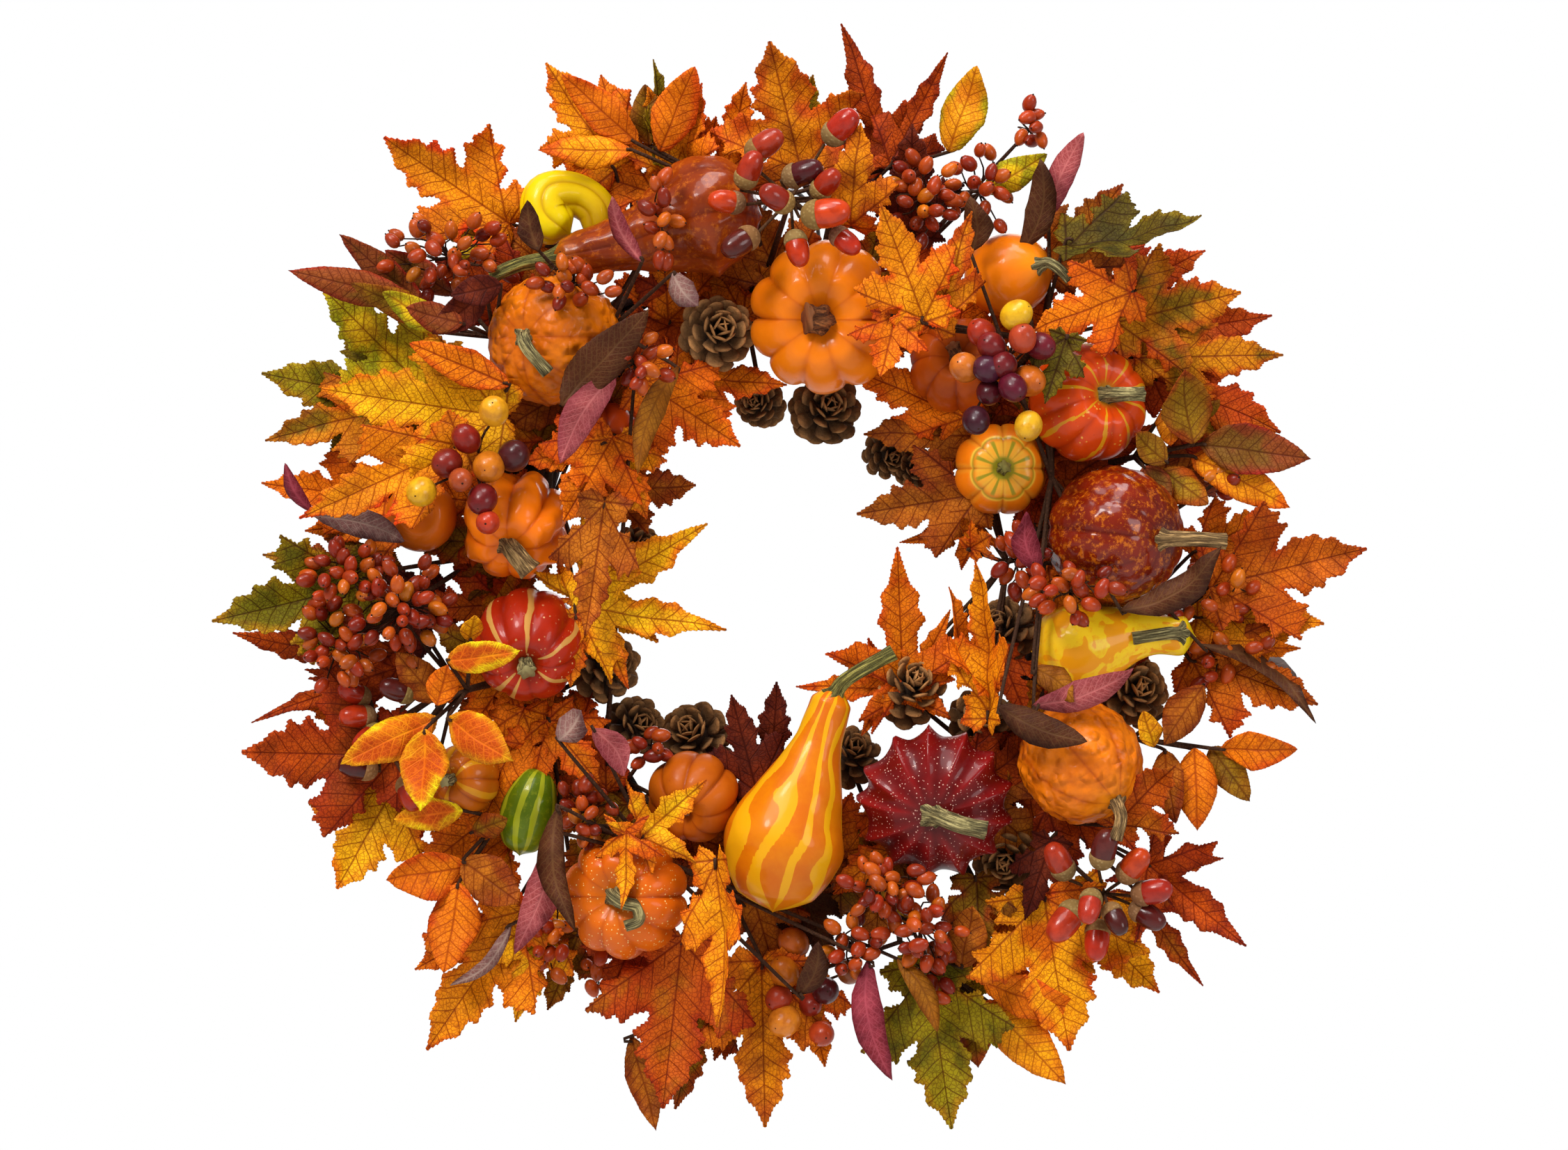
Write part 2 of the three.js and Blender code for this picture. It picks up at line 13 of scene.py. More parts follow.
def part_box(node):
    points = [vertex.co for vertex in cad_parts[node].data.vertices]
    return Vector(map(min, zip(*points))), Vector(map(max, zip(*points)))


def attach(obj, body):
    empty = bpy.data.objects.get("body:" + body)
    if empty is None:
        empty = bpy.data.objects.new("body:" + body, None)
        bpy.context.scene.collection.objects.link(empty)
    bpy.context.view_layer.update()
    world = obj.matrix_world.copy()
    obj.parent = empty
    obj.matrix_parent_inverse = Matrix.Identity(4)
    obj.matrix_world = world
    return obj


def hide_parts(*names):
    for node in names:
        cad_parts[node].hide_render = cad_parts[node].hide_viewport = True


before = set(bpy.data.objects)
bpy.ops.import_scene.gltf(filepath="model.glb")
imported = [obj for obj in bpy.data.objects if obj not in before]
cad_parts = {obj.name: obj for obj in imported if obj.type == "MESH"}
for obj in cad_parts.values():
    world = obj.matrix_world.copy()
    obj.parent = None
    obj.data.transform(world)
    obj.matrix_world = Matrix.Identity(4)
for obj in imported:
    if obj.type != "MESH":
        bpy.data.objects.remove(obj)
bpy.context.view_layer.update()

# ---- driving dimensions, in millimetres ----------------------------------------------------------

MM = 0.001
RING_RADIUS = 155
TIE_FRONT = 28.1
STRAND_OFFSET = 12.5
STRAND_RADIUS = 9.8
STRAND_TWISTS = 4
STRAND_SWEEP = 350
WIRE_RADIUS = 1.1

TIE_LOW, TIE_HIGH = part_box("hanger_tie")
CENTRE = Vector(((TIE_LOW.x + TIE_HIGH.x) / 2, TIE_LOW.y + TIE_FRONT * MM,
                 (TIE_LOW.z + TIE_HIGH.z) / 2 - RING_RADIUS * MM))
ORIGIN = np.array(CENTRE)


def place(x, y, z):
    """A point of the ring's frame, in millimetres, as a point of the scene, in metres."""
    return CENTRE + Vector((x, y, z)) * MM


# ---- camera, light and floor -----------------------------------------------------------------------

CAMERA_DISTANCE = 2.6
VIEW_WIDTH = 0.8336
SENSOR_WIDTH = 36
MIDDLE_Y = -45
FLOOR_DROP = 1.45
FLOOR_BACK = 9
FLOOR_REACH = 20


def aimed(thing, position, target):
    thing.location = position
    thing.rotation_euler = (Vector(target) - Vector(position)).to_track_quat("-Z", "Y").to_euler()
    bpy.context.scene.collection.objects.link(thing)


def make_camera():
    lens = bpy.data.cameras.new("camera")
    lens.sensor_width = SENSOR_WIDTH
    lens.lens = SENSOR_WIDTH * CAMERA_DISTANCE / VIEW_WIDTH
    camera = bpy.data.objects.new("camera", lens)
    target = place(-2, MIDDLE_Y, 0.7)
    aimed(camera, target + Vector((0, -CAMERA_DISTANCE, 0)), target)
    bpy.context.scene.camera = camera


def make_light(name, offset, size, power, colour=(1, 1, 1)):
    lamp = bpy.data.lights.new(name, "AREA")
    lamp.shape = "DISK"
    lamp.size = size
    lamp.energy = power
    lamp.color = colour
    aimed(bpy.data.objects.new(name, lamp), CENTRE + Vector(offset), CENTRE)


def make_sun():
    """Soft light from above, in front and to the left, that also brightens the whole floor."""
    lamp = bpy.data.lights.new("soft_sun", "SUN")
    lamp.energy = 1.7
    lamp.angle = math.radians(40)
    aimed(bpy.data.objects.new("soft_sun", lamp), CENTRE + Vector((-0.5, -1.0, 1.5)), CENTRE)


def make_world():
    world = bpy.data.worlds.new("studio")
    world.use_nodes = True
    tree = world.node_tree
    tree.nodes.clear()
    path = tree.nodes.new("ShaderNodeLightPath")
    seen = tree.nodes.new("ShaderNodeBackground")
    seen.inputs["Color"].default_value = (1, 1, 1, 1)
    fill = tree.nodes.new("ShaderNodeBackground")
    fill.inputs["Color"].default_value = (0.95, 0.97, 1, 1)
    fill.inputs["Strength"].default_value = 0.32
    mixed = tree.nodes.new("ShaderNodeMixShader")
    output = tree.nodes.new("ShaderNodeOutputWorld")
    tree.links.new(path.outputs["Is Camera Ray"], mixed.inputs[0])
    tree.links.new(fill.outputs[0], mixed.inputs[1])
    tree.links.new(seen.outputs[0], mixed.inputs[2])
    tree.links.new(mixed.outputs[0], output.inputs[0])
    bpy.context.scene.world = world


def make_floor():
    mesh = bpy.data.meshes.new("floor")
    z = CENTRE.z - FLOOR_DROP
    corners = [(-FLOOR_REACH, -FLOOR_REACH, z), (FLOOR_REACH, -FLOOR_REACH, z),
               (FLOOR_REACH, FLOOR_BACK, z), (-FLOOR_REACH, FLOOR_BACK, z)]
    mesh.from_pydata(corners, [], [(0, 1, 2, 3)])
    floor = bpy.data.objects.new("floor", mesh)
    material = bpy.data.materials.new("floor")
    material.use_nodes = True
    shader = material.node_tree.nodes["Principled BSDF"]
    shader.inputs["Base Color"].default_value = (0.85, 0.85, 0.84, 1)
    shader.inputs["Roughness"].default_value = 0.8
    mesh.materials.append(material)
    bpy.context.scene.collection.objects.link(floor)


bpy.context.scene.view_settings.view_transform = "Standard"
make_camera()
make_world()
make_floor()
make_light("key_light", (-1.1, -1.7, 1.5), 0.7, 30, (1, 0.98, 0.95))
make_light("fill_light", (1.7, -1.6, 0.3), 1.0, 13, (0.98, 0.99, 1))
make_light("top_light", (0.2, -0.4, 1.9), 0.8, 16)
make_light("back_light", (0.4, 2.0, 1.0), 1.5, 14)
make_sun()


# ---- shader nodes ------------------------------------------------------------------------------------

class Shader:
    """A material under construction: each call adds one node and returns its output socket."""

    def __init__(self, name, roughness, coat=0.0, specular=0.5, metallic=0.0):
        self.material = bpy.data.materials.new(name)
        self.material.use_nodes = True
        self.tree = self.material.node_tree
        self.surface = self.tree.nodes["Principled BSDF"]
        self.surface.inputs["Roughness"].default_value = roughness
        self.surface.inputs["Coat Weight"].default_value = coat
        self.surface.inputs["Coat Roughness"].default_value = 0.1
        self.surface.inputs["Specular IOR Level"].default_value = specular
        self.surface.inputs["Metallic"].default_value = metallic

    def add(self, kind, inputs, output=0, **settings):
        made = self.tree.nodes.new("ShaderNode" + kind)
        for key, value in settings.items():
            setattr(made, key, value)
        for key, value in inputs.items():
            self.put(made.inputs[key], value)
        return made.outputs[output]

    def put(self, socket, value):
        if isinstance(value, bpy.types.NodeSocket):
            self.tree.links.new(value, socket)
        elif socket.type == "RGBA" and len(value) == 3:
            socket.default_value = (*value, 1)
        else:
            socket.default_value = value

    def attribute(self, name, output="Fac"):
        return self.add("Attribute", {}, output, attribute_name=name)

    def local(self):
        return self.add("TexCoord", {}, "Object")

    def math(self, operation, first, second=0.0, third=0.0, clamp=False):
        return self.add("Math", {0: first, 1: second, 2: third}, operation=operation, use_clamp=clamp)

    def band(self, value, low, high, start=0.0, end=1.0):
        """Goes from start to end, smoothly, as the value goes from low to high."""
        return self.add("MapRange", {"Value": value, "From Min": low, "From Max": high,
                                     "To Min": start, "To Max": end}, interpolation_type="SMOOTHSTEP")

    def noise(self, scale, detail=3.0, vector=None, roughness=0.55):
        return self.add("TexNoise", {"Vector": vector or self.local(), "Scale": scale,
                                     "Detail": detail, "Roughness": roughness})

    def cells(self, scale, feature="F1", vector=None):
        return self.add("TexVoronoi", {"Vector": vector or self.local(), "Scale": scale}, "Distance",
                        feature=feature)

    def mix(self, share, first, second, blend="MIX"):
        return self.add("Mix", {0: share, 6: first, 7: second}, 2, data_type="RGBA", blend_type=blend)

    def split(self, vector, axis):
        return self.add("SeparateXYZ", {0: vector}, axis)

    def bump(self, height, distance, strength=1.0, before=None):
        inputs = {"Height": height, "Distance": distance, "Strength": strength}
        if before is not None:
            inputs["Normal"] = before
        return self.add("Bump", inputs)

    def finish(self, colour, normal=None, roughness=None):
        self.put(self.surface.inputs["Base Color"], colour)
        if normal is not None:
            self.put(self.surface.inputs["Normal"], normal)
        if roughness is not None:
            self.put(self.surface.inputs["Roughness"], roughness)
        return self.material


# ---- materials ---------------------------------------------------------------------------------------

LEAF_LAYER = "vein"
TINT = "tint"
PALE_VEIN = (1.4, 1.9, 1.7)


def leaf_material(name, roughness, pitch, spread, dark, ribbing):
    """Printed fabric: the UVs give each point its place along a vein and its distance from it, in mm."""
    s = Shader(name, roughness, specular=0.1)
    tint = s.attribute(TINT, "Color")
    uv = s.add("UVMap", {}, uv_map=LEAF_LAYER)
    along = s.split(uv, 0)
    away = s.math("ABSOLUTE", s.split(uv, 1))
    width = s.math("MAXIMUM", s.math("MULTIPLY_ADD", along, -0.007, 1.05), 0.35)
    main = s.math("SUBTRACT", 1.0, s.math("DIVIDE", away, width), clamp=True)
    wander = s.math("MULTIPLY", s.noise(90, 1), 3.0)
    branch = s.math("ADD", s.math("MULTIPLY_ADD", away, -spread, along), wander)
    sawtooth = s.math("ABSOLUTE", s.math("SUBTRACT", s.math("FRACT", s.math("DIVIDE", branch, pitch)), 0.5))
    side = s.math("SUBTRACT", 1.0, s.math("DIVIDE", s.math("MULTIPLY", sawtooth, pitch), 0.62), clamp=True)
    net = s.band(s.cells(430, "DISTANCE_TO_EDGE"), 0.0, 0.14, 1.0, 0.0)
    mottle = s.band(s.noise(55, 5, roughness=0.7), 0.36, 0.66)
    fleck = s.band(s.noise(420, 3, roughness=0.7), 0.5, 0.72)
    deep = s.mix(1.0, tint, s.mix(s.attribute("mark"), (*dark, 1), (*PALE_VEIN, 1)), "MULTIPLY")
    colour = s.mix(s.math("MULTIPLY", mottle, 0.6), tint, s.mix(1.0, tint, (0.72, 0.52, 0.4, 1),
                                                                "MULTIPLY"))
    colour = s.mix(s.math("MULTIPLY", fleck, 0.5), colour, s.mix(1.0, tint, (*dark, 1), "MULTIPLY"))
    colour = s.mix(s.math("MULTIPLY", net, 0.55), colour, deep)
    colour = s.mix(s.math("MULTIPLY", side, 0.95), colour, deep)
    colour = s.mix(main, colour, deep)
    lines = s.math("MAXIMUM", main, s.math("MAXIMUM", s.math("MULTIPLY", side, 0.7),
                                           s.math("MULTIPLY", net, 0.35)))
    pucker = s.math("MULTIPLY_ADD", s.noise(230, 2), 0.8, s.math("MULTIPLY", lines, -1.0))
    normal = s.bump(pucker, ribbing * MM, 0.8)
    return s.finish(colour, normal)


def fruit_material(name, second, roughness=0.3, coat=0.25, groove=(0.55, 0.35, 0.25), speckle=None,
                   speckle_share=0.0, speckle_scale=330, mottle=0.3, mottle_scale=28, wart=0.0,
                   wart_scale=90, streak=0.0):
    """Painted foam. tint is the base colour, mark the stripes and groove the dark seams between ribs."""
    s = Shader(name, roughness, coat * 0.8, specular=0.12)
    tint = s.attribute(TINT, "Color")
    mark = s.attribute("mark")
    seam = s.attribute("groove")
    ragged = s.math("ADD", mark, s.math("MULTIPLY_ADD", s.noise(150, 4), 0.7, -0.35))
    stripes = s.band(ragged, 0.42, 0.58)
    cloud = s.band(s.noise(mottle_scale, 4, roughness=0.6), 0.35, 0.7)
    colour = s.mix(s.math("MULTIPLY", cloud, mottle), tint,
                   s.mix(1.0, tint, (*groove, 1), "MULTIPLY"))
    colour = s.mix(stripes, colour, second)
    if streak:
        fine = s.band(s.noise(260, 6, roughness=0.75), 0.5, 0.64)
        colour = s.mix(s.math("MULTIPLY", fine, streak), colour, second)
    colour = s.mix(s.math("MULTIPLY", seam, 0.75), colour, s.mix(1.0, colour, (*groove, 1), "MULTIPLY"))
    if speckle is not None:
        sized = s.math("MULTIPLY_ADD", s.noise(160, 3, roughness=0.7), -0.42, s.cells(speckle_scale))
        dots = s.band(sized, -0.07, 0.0, 1.0, 0.0)
        chosen = s.band(s.noise(75, 2), 0.62 - speckle_share * 0.3, 0.7 - speckle_share * 0.3)
        colour = s.mix(s.math("MULTIPLY", dots, chosen), colour, speckle)
    pits = s.band(s.cells(260, vector=s.local()), 0.03, 0.09, 1.0, 0.0)
    sparse = s.band(s.noise(60, 1), 0.5, 0.6)
    pores = s.math("MULTIPLY", pits, sparse)
    colour = s.mix(s.math("MULTIPLY", pores, 0.5), colour, s.mix(1.0, colour, (*groove, 1), "MULTIPLY"))
    normal = s.bump(s.math("MULTIPLY_ADD", pores, -0.6, s.noise(120, 3)), 0.5 * MM, 0.5)
    if wart:
        knobs = s.band(s.cells(wart_scale), 0.0, 0.62, 1.0, 0.0)
        normal = s.bump(s.math("ADD", knobs, s.noise(wart_scale * 0.7, 2)), wart * MM, 1.0, normal)
    rough = s.band(s.noise(45, 3), 0.3, 0.7, roughness * 0.8, roughness * 1.35)
    return s.finish(colour, normal, rough)


def stem_material(name, pale, dark):
    """Dry woody stalk: the UV layer runs round it and along it."""
    s = Shader(name, 0.75, specular=0.3)
    uv = s.add("UVMap", {}, uv_map=LEAF_LAYER)
    stretched = s.add("Mapping", {0: uv, 3: (26.0, 2.4, 1.0)})
    fibre = s.band(s.noise(1.0, 5, stretched, 0.75), 0.38, 0.58)
    blotch = s.band(s.noise(160, 3), 0.4, 0.65)
    colour = s.mix(fibre, dark, pale)
    colour = s.mix(s.math("MULTIPLY", blotch, 0.35), colour, s.mix(1.0, colour, (0.5, 0.5, 0.42, 1),
                                                                   "MULTIPLY"))
    return s.finish(colour, s.bump(fibre, 1.0 * MM, 0.9))


def bark_material(name):
    s = Shader(name, 0.85, specular=0.25)
    tint = s.attribute(TINT, "Color")
    uv = s.add("UVMap", {}, uv_map=LEAF_LAYER)
    stretched = s.add("Mapping", {0: uv, 3: (9.0, 60.0, 1.0)})
    fibre = s.band(s.noise(1.0, 5, stretched, 0.7), 0.35, 0.65)
    peel = s.band(s.noise(70, 4, roughness=0.7), 0.45, 0.6)
    colour = s.mix(fibre, s.mix(1.0, tint, (0.4, 0.38, 0.36, 1), "MULTIPLY"), tint)
    colour = s.mix(s.math("MULTIPLY", peel, 0.4), colour, (0.16, 0.10, 0.065, 1))
    return s.finish(colour, s.bump(fibre, 0.8 * MM, 0.9))


def scale_material(name):
    """Pine cone scales: mark runs from the cone's core, 0, to the scale's outer edge, 1. Towards the core
    the scales are painted near-black, as painted shade in the gaps between them.
    """
    s = Shader(name, 0.75, specular=0.3)
    edge = s.attribute("mark")
    tint = s.attribute(TINT, "Color")
    grain = s.band(s.noise(420, 4, roughness=0.7), 0.35, 0.65)
    # Painted shade: each scale turns near-black towards the core, where the gaps between scales lie in
    # shadow.
    colour = s.mix(s.band(edge, 0.3, 0.92), (0.04, 0.02, 0.01, 1), tint)
    colour = s.mix(s.band(edge, 0.88, 1.04, 0.0, 0.6), colour,
                   s.mix(1.0, tint, (1.7, 1.6, 1.4, 1), "MULTIPLY"))
    colour = s.mix(s.math("MULTIPLY", grain, 0.45), colour, s.mix(1.0, colour, (0.45, 0.4, 0.35, 1),
                                                                  "MULTIPLY"))
    return s.finish(colour, s.bump(grain, 0.4 * MM, 0.8))


def berry_material(name, roughness=0.34, coat=0.22):
    s = Shader(name, roughness, coat, specular=0.2)
    tint = s.attribute(TINT, "Color")
    cloud = s.band(s.noise(190, 3), 0.38, 0.68)
    speck = s.band(s.noise(900, 2, roughness=0.7), 0.62, 0.75)
    colour = s.mix(s.math("MULTIPLY", cloud, 0.5), tint, s.mix(1.0, tint, (0.5, 0.32, 0.3, 1), "MULTIPLY"))
    colour = s.mix(s.math("MULTIPLY", speck, 0.35), colour, s.mix(1.0, tint, (0.3, 0.2, 0.2, 1),
                                                                  "MULTIPLY"))
    return s.finish(colour, s.bump(s.noise(420, 2), 0.25 * MM, 0.5))


def cap_material(name, dark, depth):
    """Acorn cups, bark and other rough dry parts."""
    s = Shader(name, 0.8, specular=0.2)
    tint = s.attribute(TINT, "Color")
    grit = s.cells(520)
    shade = s.band(grit, 0.1, 0.6)
    colour = s.mix(shade, tint, s.mix(1.0, tint, (*dark, 1), "MULTIPLY"))
    return s.finish(colour, s.bump(shade, -depth * MM, 1.0))


def wire_material(name, colour):
    s = Shader(name, 0.4, metallic=0.85)
    rust = s.band(s.noise(350, 4, roughness=0.7), 0.45, 0.7)
    tinted = s.mix(s.math("MULTIPLY", rust, 0.5), colour, (0.16, 0.09, 0.05, 1))
    return s.finish(tinted, s.bump(s.noise(700, 2), 0.1 * MM, 0.4))


# ---- mesh building -----------------------------------------------------------------------------------

class Build:
    """Collects points and faces, with a colour and a mark at each point, and makes one object of them."""

    def __init__(self):
        self.points, self.faces, self.uvs, self.tints = [], [], [], []
        self.marks, self.grooves, self.slots = [], [], []
        self.count = 0

    def add(self, points, faces, tint, slot=0, uvs=None, mark=0.0, groove=0.0):
        """points: N x 3 in the ring's frame, in millimetres. uvs: one pair for each corner of each face."""
        points = np.asarray(points, float)
        number = len(points)
        tint = np.asarray(tint, float)
        self.points.append(points)
        self.faces += [tuple(int(i) + self.count for i in face) for face in faces]
        corners = sum(len(face) for face in faces)
        self.uvs.append(np.zeros((corners, 2)) if uvs is None else np.asarray(uvs, float))
        self.tints.append(np.broadcast_to(tint, (number, 3)))
        self.marks.append(np.broadcast_to(np.asarray(mark, float), (number,)))
        self.grooves.append(np.broadcast_to(np.asarray(groove, float), (number,)))
        self.slots += [slot] * len(faces)
        self.count += number

    def object(self, name, materials, slot_name, replaced=(), body="wreath", thickness=0.0):
        mesh = bpy.data.meshes.new(name)
        points = np.concatenate(self.points) * MM + ORIGIN
        mesh.from_pydata(points.tolist(), [], self.faces)
        for material in materials:
            mesh.materials.append(material)
        mesh.polygons.foreach_set("material_index", self.slots)
        mesh.polygons.foreach_set("use_smooth", [True] * len(self.faces))
        layer = mesh.uv_layers.new(name=LEAF_LAYER)
        layer.data.foreach_set("uv", np.concatenate(self.uvs).ravel())
        tints = np.concatenate(self.tints)
        colours = mesh.attributes.new(TINT, "FLOAT_COLOR", "POINT")
        colours.data.foreach_set("color", np.column_stack([tints, np.ones(len(tints))]).ravel())
        for label, values in (("mark", self.marks), ("groove", self.grooves)):
            mesh.attributes.new(label, "FLOAT", "POINT").data.foreach_set("value", np.concatenate(values))
        made = bpy.data.objects.new(name, mesh)
        bpy.context.scene.collection.objects.link(made)
        if thickness:
            solid = made.modifiers.new("thickness", "SOLIDIFY")
            solid.thickness = thickness * MM
            solid.offset = 0
        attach(made, body)
        if replaced:
            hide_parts(*replaced)
        return made


def ring_faces(rows, columns):
    """Quads between closed rows of points, and their UVs: share round, share along."""
    faces, uvs = [], []
    for i in range(rows - 1):
        for j in range(columns):
            after = (j + 1) % columns
            faces.append((i * columns + j, i * columns + after,
                          (i + 1) * columns + after, (i + 1) * columns + j))
            for row, column in ((i, j), (i, j + 1), (i + 1, j + 1), (i + 1, j)):
                uvs.append((column / columns, row / (rows - 1)))
    return faces, uvs


def frame_along(path):
    """For each point of a path: its tangent and two directions square to it, without sudden turns."""
    path = np.asarray(path, float)
    tangents = np.gradient(path, axis=0)
    tangents /= np.linalg.norm(tangents, axis=1)[:, None]
    start = np.array((0.0, -1.0, 0.0)) if abs(tangents[0][1]) < 0.8 else np.array((1.0, 0.0, 0.0))
    sides = []
    for tangent in tangents:
        start = start - tangent * start.dot(tangent)
        start /= np.linalg.norm(start)
        sides.append(start)
    sides = np.array(sides)
    return tangents, sides, np.cross(tangents, sides)


def tube(path, radii, columns, ridge=None):
    """Points, faces and UVs of a closed tube along a path. ridge(angle, share) scales the radius."""
    path = np.asarray(path, float)
    _, sides, ups = frame_along(path)
    angles = np.arange(columns) * 2 * math.pi / columns
    rows = []
    for i, (centre, radius) in enumerate(zip(path, radii)):
        share = i / (len(path) - 1)
        scale = np.array([ridge(angle, share) for angle in angles]) if ridge else np.ones(columns)
        rows.append(centre + (sides[i] * np.cos(angles)[:, None]
                              + ups[i] * np.sin(angles)[:, None]) * (radius * scale)[:, None])
    faces, uvs = ring_faces(len(path), columns)
    points = np.concatenate(rows)
    for end, order in ((0, -1), (len(path) - 1, 1)):
        cap = tuple(end * columns + j for j in range(columns))[::order]
        faces.append(cap)
        uvs += [(0.0, 0.0)] * columns
    return points, faces, uvs


def curve(points, steps):
    """A smooth path through some points, in even steps of the curve's parameter."""
    points = np.asarray(points, float)
    padded = np.vstack([2 * points[0] - points[1], points, 2 * points[-1] - points[-2]])
    path = []
    for share in np.linspace(0, len(points) - 1, steps):
        i = min(int(share), len(points) - 2)
        t = share - i
        a, b, c, d = padded[i:i + 4]
        path.append(0.5 * (2 * b + (c - a) * t + (2 * a - 5 * b + 4 * c - d) * t ** 2
                           + (3 * b - a - 3 * c + d) * t ** 3))
    return np.array(path)


def globe(rows, columns):
    """Unit sphere points with poles on Y, its faces and its UVs."""
    points, shares = [], np.linspace(0, 1, rows + 1)
    for share in shares:
        angle = math.pi * share
        radius = max(math.sin(angle), 1e-3)
        for j in range(columns):
            turn = 2 * math.pi * j / columns
            points.append((radius * math.cos(turn), -math.cos(angle), radius * math.sin(turn)))
    faces, uvs = ring_faces(rows + 1, columns)
    faces = [face[::-1] for face in faces]
    faces.append(tuple(range(columns)))
    faces.append(tuple(rows * columns + j for j in range(columns))[::-1])
    uvs += [(0.0, 0.0)] * columns + [(0.0, 1.0)] * columns
    return np.array(points), faces, uvs


def basis(direction):
    """Three rows: a side, the direction and the third axis, all square to each other."""
    along = np.asarray(direction, float)
    along = along / np.linalg.norm(along)
    side = np.cross(along, (0.0, -1.0, 0.0))
    if np.linalg.norm(side) < 0.2:
        side = np.cross(along, (0.0, 0.0, 1.0))
    side /= np.linalg.norm(side)
    return np.array([side, along, np.cross(side, along)])


# ---- leaves --------------------------------------------------------------------------------------------

def rgb(code):
    """A colour such as "d67a1c", as it looks on screen, in the linear values that shaders take."""
    shares = [int(code[i:i + 2], 16) / 255 for i in (0, 2, 4)]
    return np.array([c / 12.92 if c <= 0.04045 else ((c + 0.055) / 1.055) ** 2.4 for c in shares])


# Right half of each outline from the stem to the tip, in shares of the half width and of the length.
OUTLINES = {
    "maple": [(0.02, 0.0), (0.12, -0.04), (0.30, -0.08), (0.40, -0.04), (0.64, -0.01), (0.52, 0.07),
              (0.54, 0.13), (0.38, 0.15), (0.33, 0.2), (0.50, 0.22), (0.62, 0.2), (0.67, 0.29),
              (0.82, 0.3), (0.84, 0.38), (1.0, 0.48), (0.82, 0.48), (0.76, 0.54), (0.64, 0.50),
              (0.57, 0.56), (0.46, 0.49), (0.25, 0.44), (0.28, 0.52), (0.42, 0.58), (0.33, 0.63),
              (0.38, 0.71), (0.25, 0.73), (0.26, 0.82), (0.13, 0.87), (0.0, 1.0)],
    "star": [(0.02, 0.0), (0.17, -0.03), (0.36, -0.11), (0.62, -0.16), (0.48, -0.04), (0.36, 0.03),
             (0.2, 0.1), (0.42, 0.13), (0.62, 0.14), (0.72, 0.22), (1.0, 0.33), (0.72, 0.33),
             (0.62, 0.39), (0.42, 0.32), (0.19, 0.28), (0.22, 0.42), (0.32, 0.51), (0.22, 0.57),
             (0.25, 0.67), (0.14, 0.73), (0.08, 0.86), (0.0, 1.0)],
    "oval": [(0.05, 0.0), (0.45, 0.08), (0.82, 0.22), (1.0, 0.4), (0.95, 0.56), (0.72, 0.74),
             (0.36, 0.89), (0.1, 0.97), (0.0, 1.0)],
    "narrow": [(0.08, 0.0), (0.5, 0.1), (0.86, 0.26), (1.0, 0.45), (0.9, 0.64), (0.6, 0.82),
               (0.25, 0.94), (0.0, 1.0)],
}
# Veins on the right side, from and to, in the same shares. The middle vein is the first.
VEINS = {
    "maple": [((0, 0), (0, 1)), ((0, 0.03), (1, 0.48)), ((0, 0.01), (0.62, 0.0))],
    "star": [((0, 0), (0, 1)), ((0, 0.03), (1, 0.33)), ((0, 0.01), (0.6, -0.15))],
    "oval": [((0, 0), (0, 1))],
    "narrow": [((0, 0), (0, 1))],
}
TOOTH = {"maple": (0.036, 0.012), "star": (0.034, 0.009), "oval": (0.05, 0.006), "narrow": (0.09, 0.0)}
GRID_STEP = {"maple": 0.048, "star": 0.045, "oval": 0.05, "narrow": 0.07}
# Half width over length that a kind is drawn at, so that its grid has even spacing.
ASPECT = {"maple": 0.62, "star": 0.55, "oval": 0.28, "narrow": 0.12}


def toothed(outline, kind, rng):
    """Adds a saw edge to an outline, its teeth leaning towards the tip."""
    step, height = TOOTH[kind]
    points = []
    for (x0, y0), (x1, y1) in zip(outline, outline[1:]):
        length = math.hypot(x1 - x0, y1 - y0)
        count = max(1, round(length / step))
        for k in range(count):
            points.append((x0 + (x1 - x0) * k / count, y0 + (y1 - y0) * k / count))
            if height and count > 1:
                share = (k + 0.7) / count
                out = height * rng.uniform(0.6, 1.3) / length
                points.append((x0 + (x1 - x0) * share + (y1 - y0) * out,
                               y0 + (y1 - y0) * share - (x1 - x0) * out))
    return points


def inside(points, loop):
    """Which points lie inside a closed outline, by crossings."""
    x, y = points[:, 0], points[:, 1]
    result = np.zeros(len(points), bool)
    for (x0, y0), (x1, y1) in zip(loop, np.roll(loop, -1, axis=0)):
        crosses = (y0 > y) != (y1 > y)
        with np.errstate(divide="ignore", invalid="ignore"):
            result ^= crosses & (x < (x1 - x0) * (y - y0) / (y1 - y0) + x0)
    return result


def segment_distance(points, start, end):
    """Distance to a segment, distance along it, and signed distance from its line."""
    start, end = np.asarray(start, float), np.asarray(end, float)
    span = end - start
    length = np.linalg.norm(span)
    unit = span / length
    offset = points - start
    along = offset @ unit
    across = offset @ np.array((-unit[1], unit[0]))
    nearest = start + np.clip(along, 0, length)[:, None] * unit
    return np.linalg.norm(points - nearest, axis=1), along, across


TEMPLATES = {}


